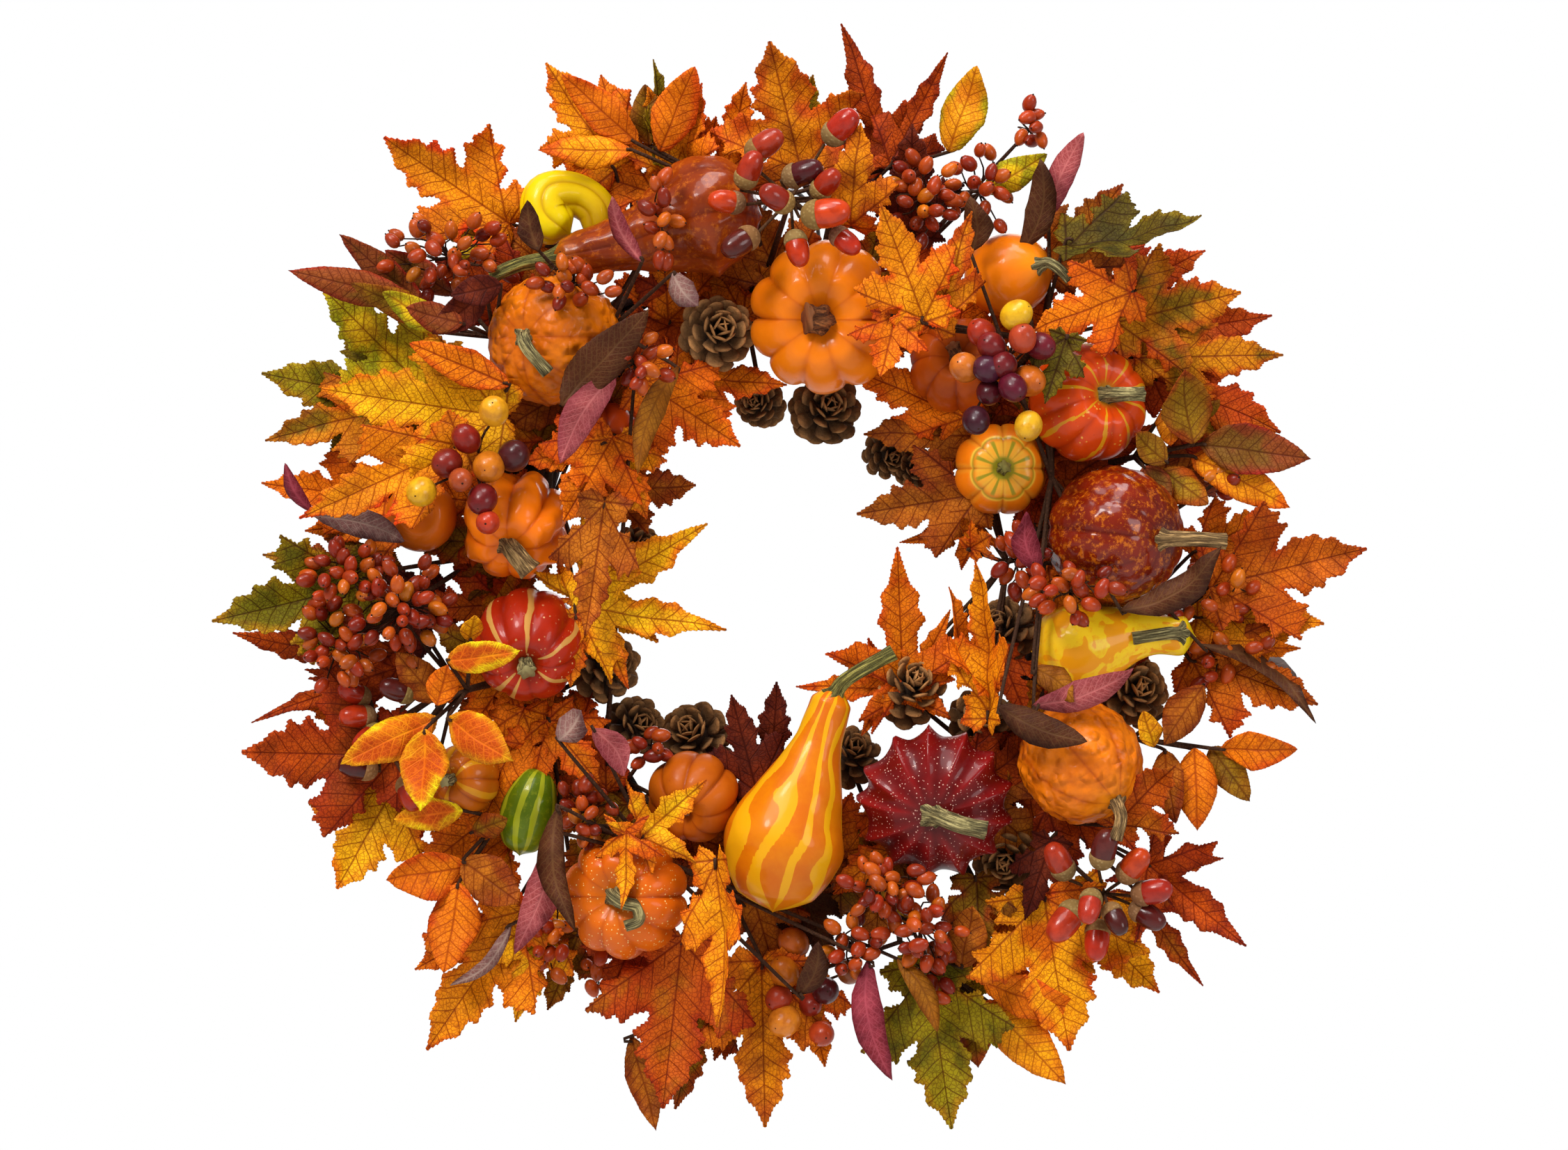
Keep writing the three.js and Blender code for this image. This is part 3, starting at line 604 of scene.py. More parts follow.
def leaf_template(kind, variant):
    """Flat points, triangles and each point's distance to the edge, all in shares of the leaf's length."""
    if (kind, variant) in TEMPLATES:
        return TEMPLATES[kind, variant]
    rng = random.Random(f"{kind}{variant}")
    aspect = ASPECT[kind]
    sides = []
    for _ in range(2):
        half = [(x * aspect * rng.uniform(0.93, 1.07), y + rng.uniform(-0.015, 0.015))
                for x, y in OUTLINES[kind][1:-1]]
        half = [(OUTLINES[kind][0][0] * aspect, 0.0), *half, (0.0, 1.0)]
        sides.append(toothed(half, kind, rng))
    left = [(-x, y) for x, y in reversed(sides[1])]
    loop = np.array([*sides[0], (0.0, 1.0), *left])
    low, high = loop.min(0), loop.max(0)
    step = GRID_STEP[kind]
    grid = np.array([(x + (row % 2) * step / 2, y)
                     for row, y in enumerate(np.arange(low[1], high[1], step * 0.87))
                     for x in np.arange(low[0], high[0], step)])
    edge = np.full(len(grid), 9.0)
    for start, end in zip(loop, np.roll(loop, -1, axis=0)):
        edge = np.minimum(edge, segment_distance(grid, start, end)[0])
    lines, veins = [], []
    for start, end in VEINS[kind]:
        for side in ((1, -1) if end[0] else (1,)):
            veins.append((np.array((start[0] * side * aspect, start[1])),
                          np.array((end[0] * side * aspect, end[1]))))
    near_vein = np.min([segment_distance(grid, *vein)[0] for vein in veins], axis=0)
    keep = inside(grid, loop) & (edge > step * 0.35) & (near_vein > step * 0.3)
    points = [*loop.tolist(), *grid[keep].tolist()]
    for start, end in veins:
        count = max(3, round(np.linalg.norm(end - start) / step))
        stops = [start + (end - start) * share for share in np.linspace(0.04, 0.93, count)]
        first = len(points)
        points += [stop.tolist() for stop in stops]
        lines += [(first + k, first + k + 1) for k in range(count - 1)]
    outline = list(range(len(loop)))
    made = geometry.delaunay_2d_cdt([Vector(p) for p in points], lines, [outline], 1, 1e-5)
    flat = np.array([tuple(p) for p in made[0]])
    faces = np.array([tuple(face) for face in made[2] if len(face) == 3])
    edge = np.full(len(flat), 9.0)
    for start, end in zip(loop, np.roll(loop, -1, axis=0)):
        edge = np.minimum(edge, segment_distance(flat, start, end)[0])
    TEMPLATES[kind, variant] = (flat, faces, edge, veins)
    return TEMPLATES[kind, variant]


def smooth(low, high, value):
    share = np.clip((np.asarray(value, float) - low) / (high - low), 0, 1)
    return share * share * (3 - 2 * share)


def noise_at(points, scale, seed):
    return np.array([noise.noise(Vector((x * scale + seed, y * scale - seed, seed * 1.7)))
                     for x, y in points[:, :2]])


# body, middle, edge and patch colours; how far the edge tint reaches in mm; how much is patched.
PALETTES = {
    "orange": ("cc620a", "da7c0e", "c0480a", "97450a", 5, 0.3),
    "amber": ("d8800c", "e29812", "c4500a", "ac5c0c", 5, 0.35),
    "yellow": ("dc9e0e", "e6b016", "cc660c", "a8780e", 5, 0.4),
    "yellow_green": ("c4a010", "d4b81c", "7c8414", "5a6c10", 9, 0.55),
    "mottled": ("cc760e", "d68c12", "b4420a", "7c340a", 9, 0.65),
    "red_orange": ("a43e0c", "b04c0e", "8c2a0a", "7c380a", 8, 0.6),
    "red": ("a4400e", "b0560f", "942c0a", "9c5c0e", 5, 0.75),
    "rust": ("a43c0a", "b24c0e", "7a2208", "662008", 6, 0.5),
    "maroon": ("561a0e", "662814", "42100a", "30100a", 8, 0.4),
    "brown": ("9a5212", "b06a1c", "7a300c", "5c2c0c", 8, 0.45),
    "green": ("786c0e", "8e8212", "a0780e", "343e0a", 4, 0.6),
    "olive": ("7a560e", "8c6c14", "8c360c", "4a380a", 6, 0.5),
    "speckled": ("d8920c", "e0a012", "bc420a", "bc480a", 4, 0.75),
    "brick": ("a83a12", "b8501a", "a0300e", "b8680f", 4, 0.5),
    "amber_red": ("d47c0c", "e09212", "c8280a", "a05a0c", 3.5, 0.4),
    "mix": ("a8660c", "bc7c10", "b4440a", "4e4e0c", 5, 0.75),
    "red_tip": ("d0700a", "dc8a10", "c8280a", "98500c", 8, 0.35),
    "magenta": ("803244", "8c4450", "682434", "541c2a", 3, 0.4),
    "dark_brown": ("3a1c12", "4c2a1c", "2c120c", "24100c", 3, 0.3),
    # The orange palette darkened as painted shade, for leaves that lie in shadow.
    "burnt": ("b0540c", "bc640e", "a83c0a", "7c3a0a", 5, 0.5),
    "plum": ("681a2e", "7a2c40", "501424", "401020", 3, 0.4),
    "lemon": ("cc8410", "dc9c18", "98980f", "c0600c", 5, 0.45),
    "dark_green": ("463e0c", "5a5010", "76640f", "2a2a0a", 4, 0.6),
    "bronze": ("8a5210", "a06a1c", "6a380c", "5c300c", 3, 0.3),
    "mauve": ("5c3a44", "7c5c64", "4c2c36", "40242e", 3, 0.3),
    "wine_green": ("6a2418", "7d4420", "8c1c18", "5a5a1c", 4, 0.45),
    "gold_edge": ("bc520c", "a8440c", "c8ac12", "c4740c", 4.4, 0.5),
}


PALE_VEINED = {"gold_edge", "magenta", "plum", "mauve", "dark_brown"}
LEAF_GAIN = np.array((1.34, 1.24, 0.9))


def leaf_tints(flat, edge, palette, seed):
    body, middle, rim, patch, reach, patched = PALETTES[palette]
    body, middle, rim, patch = (rgb(code) for code in (body, middle, rim, patch))
    coarse = noise_at(flat, 0.05, seed)
    medium = noise_at(flat, 0.13, seed + 7)
    colours = body + (middle - body) * smooth(0.1, 0.9, 1 - np.abs(flat[:, :1]) / 24) * 0.8
    share = smooth(-0.02, 0.3, coarse + medium * 0.6) * patched
    colours = colours + (patch - colours) * share[:, None]
    rim_share = smooth(0.2, 1.0, 1.15 - edge / reach + medium * 0.9) * 0.85
    rim_share *= 0.3 + 0.7 * smooth(-0.12, 0.2, noise_at(flat, 0.035, seed + 11))
    colours = colours + (rim - colours) * rim_share[:, None]
    shade = 1 + 0.22 * noise_at(flat, 0.02, seed + 3)
    return np.clip(colours * shade[:, None] * LEAF_GAIN, 0, 1)


def add_leaf(build, kind, palette, base, tip, width, seed, fold=None, bend=None, roll=None):
    """base and tip: ring points in mm. fold, bend and roll are drawn if they aren't given."""
    rng = random.Random(seed)
    fold = rng.uniform(0.05, 0.32) if fold is None else fold
    bend = rng.uniform(-0.5, 0.75) if bend is None else bend
    roll = rng.uniform(-0.35, 0.35) if roll is None else roll
    flat, faces, edge, veins = leaf_template(kind, rng.randrange(3))
    base, tip = np.asarray(base, float), np.asarray(tip, float)
    length = np.linalg.norm(tip - base)
    stretch = np.array((width / 2 / ASPECT[kind], length))
    flat = flat * stretch
    edge = edge * length
    corner_points = flat[faces]
    middles = corner_points.mean(1)
    reach = []
    for start, end in veins:
        reach.append(segment_distance(middles, start * stretch, end * stretch)[0])
    owner = np.argmin(reach, axis=0)
    uvs = np.zeros((len(faces), 3, 2))
    for k, (start, end) in enumerate(veins):
        mine = owner == k
        for corner in range(3):
            _, along, across = segment_distance(corner_points[mine, corner], start * stretch, end * stretch)
            uvs[mine, corner] = np.column_stack([along, across])
    x, y = flat[:, 0], flat[:, 1]
    half = width / 2
    if kind == "narrow":
        x = x + rng.choice((-1, 1)) * rng.uniform(0.05, 0.13) * length * np.sin(math.pi * y / length)
    waves = rng.uniform(0.04, 0.1) * width * np.sin(y / length * rng.uniform(7, 11) + rng.uniform(0, 6)
                                                     + np.sign(x) * 0.9)
    height = fold * np.abs(x) * (1 - 0.35 * np.abs(x) / half)
    height += waves * (np.abs(x) / half) ** 1.5
    height -= rng.uniform(-0.15, 0.4) * half * (np.abs(x) / half) ** 3
    height += noise_at(flat, 0.05, seed * 0.37) * 5.5
    angle = y / length * bend
    if abs(bend) > 0.01:
        radius = length / bend
        y = (radius - height) * np.sin(angle)
        height = radius - (radius - height) * np.cos(angle)
    direction = tip - base
    across, along, _ = basis(direction)
    normal = np.cross(across, along)
    across, normal = (across * math.cos(roll) + normal * math.sin(roll),
                      normal * math.cos(roll) - across * math.sin(roll))
    chord = np.array((math.sin(bend) / bend, (1 - math.cos(bend)) / bend)) if abs(bend) > 0.01 else (1, 0)
    tilt = math.atan2(chord[1], chord[0])
    along, normal = (along * math.cos(tilt) - normal * math.sin(tilt),
                     normal * math.cos(tilt) + along * math.sin(tilt))
    points = base + x[:, None] * across + y[:, None] * along + height[:, None] * normal
    build.add(points, faces, leaf_tints(flat, edge, palette, seed * 0.61 + 5), uvs=uvs.reshape(-1, 2),
              mark=float(palette in PALE_VEINED))


def add_twig(build, points, thick, thin, colour, slot=1, steps=8, columns=6):
    """A thin round stem through some points, tapering from thick to thin, in mm radius."""
    path = curve(points, steps)
    bark, faces, uvs = tube(path, np.linspace(thick, thin, steps), columns)
    build.add(bark, faces, rgb(colour), slot=slot, uvs=uvs)


def ring_point(degrees, outward=0.0, y=-21.0):
    angle = math.radians(degrees)
    radius = RING_RADIUS + outward
    return np.array((radius * math.cos(angle), y, radius * math.sin(angle)))


def make_leaf_spray(name, ring, leaves, material, twig, replaced=(), slot_name="maple_leaf",
                    colour="4a2e1c", seed=0):
    """leaves: rows of kind, palette, x, z of the base, x, z of the tip, width, y, tip y and shape."""
    build = Build()
    bases = np.array([(row[2], row[7], row[3]) for row in leaves], float)
    root = ring_point(ring, 8)
    node = bases.mean(0) * 0.6 + root * 0.4
    add_twig(build, [root, (root + node) / 2 + (0, 2, 0), node], 2.2, 1.6, colour)
    for index, row in enumerate(leaves):
        kind, palette, x0, z0, x1, z1, width, y = row[:8]
        tip_y = row[8] if len(row) > 8 else y - 6
        extra = row[9] if len(row) > 9 else {}
        base, tip = np.array((x0, y, z0), float), np.array((x1, tip_y, z1), float)
        leaf_seed = seed * 31 + index * 7 + 3
        add_leaf(build, kind, palette, base, tip, width, leaf_seed, **extra)
        middle = (node + base) / 2 + (0, 3, 0)
        inner = base + (tip - base) * 0.06
        add_twig(build, [node, middle, base + (0, 1, 0), inner + (0, 0.6, 0)], 1.2, 0.7, colour)
    return build.object(name, [material, twig], slot_name, replaced, thickness=0.35)


# ---- gourds and pumpkins -------------------------------------------------------------------------------

def make_fruit(name, path, profile, ribs, rib_depth, tint, marker=None, stem=None,
               rows=64, columns=128, lumps=0.0, lump_scale=0.05, rib_power=0.6,
               pointed=False, round_ends=False, dimple=None):
    """A ribbed skin round a middle line. path and profile are functions of the share along the fruit.

    marker(turn, share) is the stripe signal and tint(turn, share) the colour, turn being 0 to 1 round it,
    and with round_ends their share is measured over the surface. dimple is how far the ends sink in.
    """
    rng = random.Random(name)
    shares = 0.5 - 0.5 * np.cos(np.linspace(0, math.pi, rows))
    line = np.array([path(share) for share in shares])
    _, sides, ups = frame_along(line)
    offsets = [rng.uniform(-0.12, 0.12) for _ in range(max(ribs, 1))]
    points, tints, marks, grooves = [], [], [], []
    seed = rng.uniform(0, 50)
    widest = max(profile(share) for share in shares)
    for i, share in enumerate(shares):
        radius = max(profile(share), 0.02)
        fade = float(smooth(0.0, 0.45, radius / widest)) if rib_depth < 0.3 else 1
        seen = math.acos(1 - 2 * share) / math.pi if round_ends else share
        sunk = 0
        if dimple is not None:
            inwards = 1 if share < 0.5 else -1
            sunk = dimple * (1 - smooth(0.0, 0.62, radius / widest)) * inwards
        for j in range(columns):
            turn = j / columns
            angle = 2 * math.pi * turn
            phase = (turn * ribs + offsets[int(turn * ribs)] * math.sin(math.pi * (turn * ribs % 1)) ** 2
                     if ribs else 0.5)
            bulge = abs(math.sin(math.pi * phase)) ** rib_power
            if pointed:
                bulge = 1 - abs(math.cos(math.pi * phase)) ** rib_power
            scale = 1 - rib_depth * (1 - bulge) * fade if ribs else 1
            place_at = line[i] + (sides[i] * math.cos(angle) + ups[i] * math.sin(angle)) * radius * scale
            place_at = place_at + sunk
            if lumps:
                lump = noise.noise(Vector(place_at) * lump_scale + Vector((seed, 0, 0)))
                lump += 0.5 * noise.noise(Vector(place_at) * lump_scale * 2.1 + Vector((0, seed, 0)))
                outward = (sides[i] * math.cos(angle) + ups[i] * math.sin(angle))
                place_at = place_at + outward * lump * lumps * min(1, radius / 8)
            points.append(place_at)
            tints.append(tint(turn, seen))
            marks.append(marker(turn, seen) if marker else 0.0)
            grooves.append((1 - bulge) ** 2 * fade if ribs else 0.0)
    faces, uvs = ring_faces(rows, columns)
    faces = [face[::-1] for face in faces]
    faces += [tuple(range(columns)), tuple((rows - 1) * columns + j for j in range(columns))[::-1]]
    uvs += [(0.0, 0.0)] * columns * 2
    build = Build()
    build.add(points, faces, tints, uvs=uvs, mark=marks, groove=grooves)
    if stem:
        add_stem(build, *stem)
    return build


def add_stem(build, points, radius, tip_radius, twist=1.2, slot=1):
    """A dry five-sided stalk, flared where it meets the fruit and cut off square at its end."""
    steps = 26
    path = curve(points, steps)
    shares = np.linspace(0, 1, steps)
    flare = 1 + 0.75 * np.clip(1 - shares / 0.22, 0, 1) ** 1.5 + 0.16 * smooth(0.85, 1.0, shares)
    radii = (radius + (tip_radius - radius) * shares) * flare

    def ridge(angle, share):
        return (1 + 0.17 * math.cos(5 * angle + twist * share * 2 * math.pi / 2)
                + 0.05 * math.cos(11 * angle + 3))

    stalk, faces, uvs = tube(path, radii, 30, ridge)
    build.add(stalk, faces, (1, 1, 1), slot=slot, uvs=uvs)


def stripes(count, width, seed=0, ends=(0.0, 1.0), jitter=0.3, warp=0.015):
    """Marker of stripes from end to end: near 1 on a stripe and near 0 between them."""
    rng = random.Random(seed)
    moves = [rng.uniform(-jitter, jitter) for _ in range(count)]

    def marker(turn, share):
        turn += warp * noise.noise(Vector((math.cos(turn * 2 * math.pi) * 1.5,
                                           math.sin(turn * 2 * math.pi) * 1.5,
                                           share * 5 + seed)))
        nearest = 9.0
        for k in range(count):
            gap = abs((turn - (k + 0.5 + moves[k] * 0.5) / count + 0.5) % 1 - 0.5) * count
            nearest = min(nearest, gap)
        inside_ends = smooth(ends[0] - 0.02, ends[0] + 0.05, share) * smooth(-ends[1] - 0.02,
                                                                             0.05 - ends[1], -share)
        return float((1 - smooth(width * 0.6, width * 1.4, nearest)) * inside_ends)
    return marker


def plain(code):
    colour = rgb(code)
    return lambda turn, share: colour


def shaded(low, middle, high, start=0.25, end=0.8):
    """Colour that changes from the blossom end, through the middle, to the stem end."""
    low, middle, high = rgb(low), rgb(middle), rgb(high)

    def tint(turn, share):
        colour = low + (middle - low) * smooth(0, start, share)
        return colour + (high - colour) * smooth(end, 1, share)
    return tint


def pumpkin_profile(radius, shoulder=0.8):
    return lambda share: radius * max(math.sin(math.acos(max(-1, min(1, 1 - 2 * share)))), 0.0) ** shoulder


def node_middle(node):
    low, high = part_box(node)
    return (np.array(low + high) / 2 - ORIGIN) / MM


# Where the backs of the fruit stand, just in front of the ring's strands.
FRUIT_FRONT = -25.8


def facing(x, z, radius, at_x, at_z):
    across, up = (at_x - x) / radius, (at_z - z) / radius
    direction = np.array((across, -math.sqrt(max(0.05, 1 - across ** 2 - up ** 2)), up))
    return direction / np.linalg.norm(direction)


def make_pumpkin(node, x, z, radius, squash, ribs, depth, stem_at, tint, material, slot_name,
                 stem_material=None, stem_size=None, stem_path=None, dimple=0.3, shoulder=0.8, **more):
    half = radius * squash
    direction = facing(x, z, radius, *stem_at)
    sideways = math.hypot(direction[0], direction[2])
    thickness = math.hypot(radius * sideways, half * direction[1])
    centre = np.array((x, FRUIT_FRONT - thickness, z))

    def path(share):
        return centre + direction * half * (2 * share - 1)

    stem = None
    if stem_material:
        top = path(1.0) - direction * half * dimple
        points = [top - direction * 2] + [top + np.array(offset) for offset in stem_path]
        stem = (points, *stem_size)
    build = make_fruit(node, path, pumpkin_profile(radius, shoulder), ribs, depth, tint, stem=stem,
                       round_ends=True, dimple=direction * half * dimple, **more)
    materials = [material, stem_material] if stem_material else [material]
    return build.object(f"{node}_skin", materials, slot_name, [node])


def make_long_gourd(node, line, profile, tint, material, slot_name, ribs=0, depth=0.0,
                    stem_material=None, stem_size=None, stem_points=None, **more):
    """line: points of the middle line. profile: rows of share along it and radius."""
    widest = max(radius for _, radius in profile)
    middle_y = FRUIT_FRONT - widest
    spine = curve([(x, middle_y - lead, z) for x, lead, z in line], 60)
    steps = np.linalg.norm(np.diff(spine, axis=0), axis=1)
    lengths = np.concatenate([[0], np.cumsum(steps)]) / steps.sum()
    places, radii = np.array(profile, float).T
    fine = curve(np.column_stack([places, radii, radii]), 90)

    def path(share):
        return np.array([np.interp(share, lengths, spine[:, k]) for k in range(3)])

    def radius_at(share):
        rounded = np.interp(share, fine[:, 0], fine[:, 1])
        cap = min(1, math.sqrt(max(0, min(share, 1 - share)) * 14))
        return rounded * cap

    stem = None
    if stem_material:
        stem = ([(x, middle_y - lead, z) for x, lead, z in stem_points], *stem_size)
    build = make_fruit(node, path, radius_at, ribs, depth, tint, stem=stem, rows=90, **more)
    materials = [material, stem_material] if stem_material else [material]
    return build.object(f"{node}_skin", materials, slot_name, [node])


# ---- pine cones ----------------------------------------------------------------------------------------

GOLDEN_ANGLE = math.pi * (3 - math.sqrt(5))
# Outline of one scale, from where it grows to its tip: share along, half width, thickness, rise.
SCALE_ROWS = [(0.0, 0.16, 0.10, 0.0), (0.35, 0.26, 0.10, 0.03), (0.7, 0.42, 0.13, 0.12),
              (0.9, 0.45, 0.2, 0.24), (1.0, 0.3, 0.16, 0.3), (1.06, 0.08, 0.05, 0.34)]


def cone_scale(size, width):
    """One woody scale along X, its face towards +Z, thicker and turned up near its tip."""
    points, marks = [], []
    for along, half, thick, rise in SCALE_ROWS:
        for turn in np.arange(8) * math.pi / 4:
            points.append((along * size, math.cos(turn) * half * width,
                           (rise + math.sin(turn) * thick * 0.5) * size * 0.8))
            marks.append(along)
    faces, _ = ring_faces(len(SCALE_ROWS), 8)
    faces += [tuple(range(8))[::-1], tuple(range(len(SCALE_ROWS) * 8 - 8, len(SCALE_ROWS) * 8))]
    return np.array(points), faces, np.array(marks)


def make_cone(name, middle, radius, direction, materials, replaced=(), count=50, tone=1.0):
    """Woody scales in a spiral round a core. direction points out of the cone's tip."""
    build = Build()
    rng = random.Random(name)
    side, along, third = basis(direction)
    spin = rng.uniform(0, 6)
    middle = np.asarray(middle, float)
    for i in range(count):
        share = (i + 0.5) / count
        angle = i * GOLDEN_ANGLE + spin
        lean = math.radians(-38 + 112 * share + rng.uniform(-7, 7))
        reach = radius * (0.62 + 0.42 * math.sin(math.pi * min(share * 0.85 + 0.12, 1)))
        outward = side * math.cos(angle) + third * math.sin(angle)
        forward = outward * math.cos(lean) + along * math.sin(lean)
        upward = along * math.cos(lean) - outward * math.sin(lean)
        across = np.cross(upward, forward)
        size = reach * rng.uniform(0.92, 1.1) * (1.06 - 0.3 * share)
        start = middle + along * radius * (-0.55 + 1.0 * share) + forward * radius * 0.12
        points, faces, marks = cone_scale(size, radius * (0.76 - 0.26 * share))
        placed = start + points[:, :1] * forward + points[:, 1:2] * across + points[:, 2:] * upward
        shade = rng.uniform(0.75, 1.2) * tone
        build.add(placed, faces, rgb("94683c") * shade, mark=marks)
    # The core's mark of 0.2 gives it the scales' near-black painted shade, which fills the shadowed gaps
    # between them.
    core, faces, _ = globe(8, 12)
    build.add(middle + core * radius * 0.5, faces, rgb("2a1a10"), mark=0.2)
    root = ring_point(math.degrees(math.atan2(middle[2], middle[0])), 0, -17)
    foot = middle - along * radius * 0.5
    add_twig(build, [root, (root + foot) / 2 + (0, 3, 0), foot], 1.7, 1.3, "4a2e1c")
    return build.object(name, materials, "pine_cone", replaced)


# ---- berries and acorns --------------------------------------------------------------------------------

GLOBE_SMALL = globe(8, 12)
GLOBE_ROUND = globe(14, 20)


def add_egg(build, middle, direction, across, along, tint, taper=0.0, dent=0.0, shape=GLOBE_SMALL, slot=0):
    """A rounded fruit. taper narrows its outer end, and dent presses that end in."""
    points, faces, uvs = shape
    frame_rows = basis(direction)
    width = across * (1 - taper * np.clip(points[:, 1], -1, 1))
    height = points[:, 1] * along - dent * along * np.exp(-(points[:, 0] ** 2 + points[:, 2] ** 2) * 9) * (
        points[:, 1] > 0)
    local = np.column_stack([points[:, 0] * width, height, points[:, 2] * width])
    build.add(np.asarray(middle, float) + local @ frame_rows, faces, tint, uvs=uvs, slot=slot)


def jittered(code, rng, amount=0.15):
    return np.clip(rgb(code) * rng.uniform(1 - amount, 1 + amount)
                   * np.array([1, rng.uniform(0.8, 1.2), rng.uniform(0.8, 1.2)]), 0, 1)


PIP_COLOURS = ["ac400e", "b44c10", "9c320c", "8c280a", "b8500f", "c4640f", "7c200a", "a8380c", "9c300c"]


PIP_ACROSS, PIP_ALONG = 3.6, 5.2
PIP_NODE_BACK = 16


def add_pips(build, x, z, y, half, count, dome, rng, twig_colour, stray=0.0):
    """A cluster of small oval berries, each on its own bent stem from a shared twig."""
    node = np.array((x, y + PIP_NODE_BACK, z))
    for i in range(count):
        share = math.sqrt((i + 0.5) / count)
        angle = i * GOLDEN_ANGLE + rng.uniform(-0.4, 0.4)
        reach = share * (1 + rng.uniform(-0.12, 0.12 + stray))
        depth = -dome * (1 - share ** 2) + rng.uniform(-9, 9)
        middle = np.array((x + half[0] * reach * math.cos(angle), y + depth,
                           z + half[1] * reach * math.sin(angle)))
        outward = (middle - node) * (1, 0.3, 1) + np.array([rng.uniform(-11, 11) for _ in range(3)])
        outward /= np.linalg.norm(outward)
        size = rng.uniform(0.88, 1.12)
        add_egg(build, middle, outward, PIP_ACROSS * size, PIP_ALONG * size,
                jittered(rng.choice(PIP_COLOURS), rng), 0.1)
        add_egg(build, middle + outward * PIP_ALONG * size, outward, 0.5, 0.7, rgb("3a1c10"), slot=1)
        bend = (node + middle) / 2 + np.array([rng.uniform(-4, 4), rng.uniform(0, 5), rng.uniform(-4, 4)])
        add_twig(build, [node, bend, middle - outward * 4.8 * size], 0.6, 0.4, twig_colour, slot=2, steps=6,
                 columns=5)


def make_berry_spray(name, ring, clusters, materials, replaced=(), colour="4a2c1a"):
    """clusters: rows of x, z, y, half width, half height, count and dome, in mm."""
    build = Build()
    rng = random.Random(name)
    middles = np.array([(row[0], row[2] + PIP_NODE_BACK, row[1]) for row in clusters], float)
    root = ring_point(ring, 8)
    for row, middle in zip(clusters, middles):
        x, z, y, half_x, half_z, count, dome = row[:7]
        add_twig(build, [root, (root + middle) / 2 + (0, 4, 0), middle], 1.8, 1.0, colour, slot=2)
        add_pips(build, x, z, y, (half_x, half_z), count, dome, rng, colour, stray=0.1)
    return build.object(name, materials, "pip_berry", replaced)


def make_round_berries(name, ring, berries, materials, y, replaced=()):
    """berries: rows of x, z, radius and colour, and y if it isn't the pick's own."""
    build = Build()
    rng = random.Random(name)
    middle = np.mean([(row[0], row[1]) for row in berries], axis=0)
    node = np.array((middle[0], y + 22, middle[1]))
    add_twig(build, [ring_point(ring, 8), node], 1.8, 1.3, "4a2c1a", slot=2)
    for row in berries:
        x, z, radius, colour = row[:4]
        depth = row[4] if len(row) > 4 else y + rng.uniform(-6, 6)
        centre = np.array((x, depth, z), float)
        outward = centre - node + (0, -6, 0)
        outward = outward / np.linalg.norm(outward)
        outward = outward + np.array([rng.uniform(-0.5, 0.5) for _ in range(3)])
        outward /= np.linalg.norm(outward)
        add_egg(build, centre, outward, radius * 1.05, radius * 1.25, jittered(colour, rng, 0.06), 0.05,
                0.05,
                GLOBE_ROUND)
        add_egg(build, centre + outward * radius * 1.1, outward, 0.8, 0.8, rgb("3a1c10"), slot=1)
        bend = (node + centre) / 2 + np.array([rng.uniform(-4, 4), 3, rng.uniform(-4, 4)])
        add_twig(build, [node, bend, centre - outward * radius], 0.9, 0.7, "4a2a18", slot=2, steps=7)
    return build.object(name, materials, "round_berry", replaced)


NUT_ACROSS, NUT_ALONG = 6.8, 11.2
NUT_BLUNTNESS = 0.22
CUP_WIDTH, CUP_DEPTH = 1.04, 1.05
CUP_BACK = 0.42


def add_acorn(build, middle, tip, size, colour, rng):
    """A glossy nut with a round end that points from its middle to its tip, in a close smooth cup."""
    middle, tip = np.asarray(middle, float), np.asarray(tip, float)
    outward = (tip - middle) / np.linalg.norm(tip - middle)
    across, along = NUT_ACROSS * size, NUT_ALONG * size
    points, faces, uvs = GLOBE_ROUND
    blunt = across * np.maximum(np.hypot(points[:, 0], points[:, 2]), 1e-6) ** -NUT_BLUNTNESS
    nut = np.column_stack([points[:, 0] * blunt, points[:, 1] * along, points[:, 2] * blunt])
    build.add(middle + nut @ basis(outward), faces, jittered(colour, rng, 0.06), uvs=uvs)
    rim = -0.1
    height = np.where(points[:, 1] > rim, points[:, 1], rim + (points[:, 1] - rim) * 0.12)
    wide = across * CUP_WIDTH
    cup = np.column_stack([points[:, 0] * wide, height * wide * CUP_DEPTH, points[:, 2] * wide])
    build.add(middle - outward * along * CUP_BACK + cup @ basis(-outward), faces,
              jittered("98754a", rng, 0.12), uvs=uvs, slot=1)


def make_acorn_pick(name, ring, acorns, materials, replaced=()):
    """acorns: rows of x, z and y of the middle, where the tip points in x, z and y, size and colour."""
    build = Build()
    rng = random.Random(name)
    centre = np.mean([(row[0], row[2], row[1]) for row in acorns], axis=0)
    node = centre + (0, 24, 0)
    add_twig(build, [ring_point(ring, 8), node], 1.8, 1.3, "4a2c1a", slot=2)
    for x, z, y, tip_x, tip_z, tip_y, size, colour in acorns:
        middle = np.array((x, y, z), float)
        tip = middle + np.array((tip_x, tip_y, tip_z), float)
        back = middle - (tip - middle) / np.linalg.norm(tip - middle) * 13 * size
        add_acorn(build, middle, tip, size, colour, rng)
        add_twig(build, [node, (node + back) / 2 + (0, 3, 0), back], 1.1, 0.9, "5a3a20", slot=2, steps=7)
    return build.object(name, materials, "acorn", replaced)


# ---- vine ring and hanger ------------------------------------------------------------------------------

TWIGS_PER_STRAND = 9
TWIG_RADIUS = 3.3


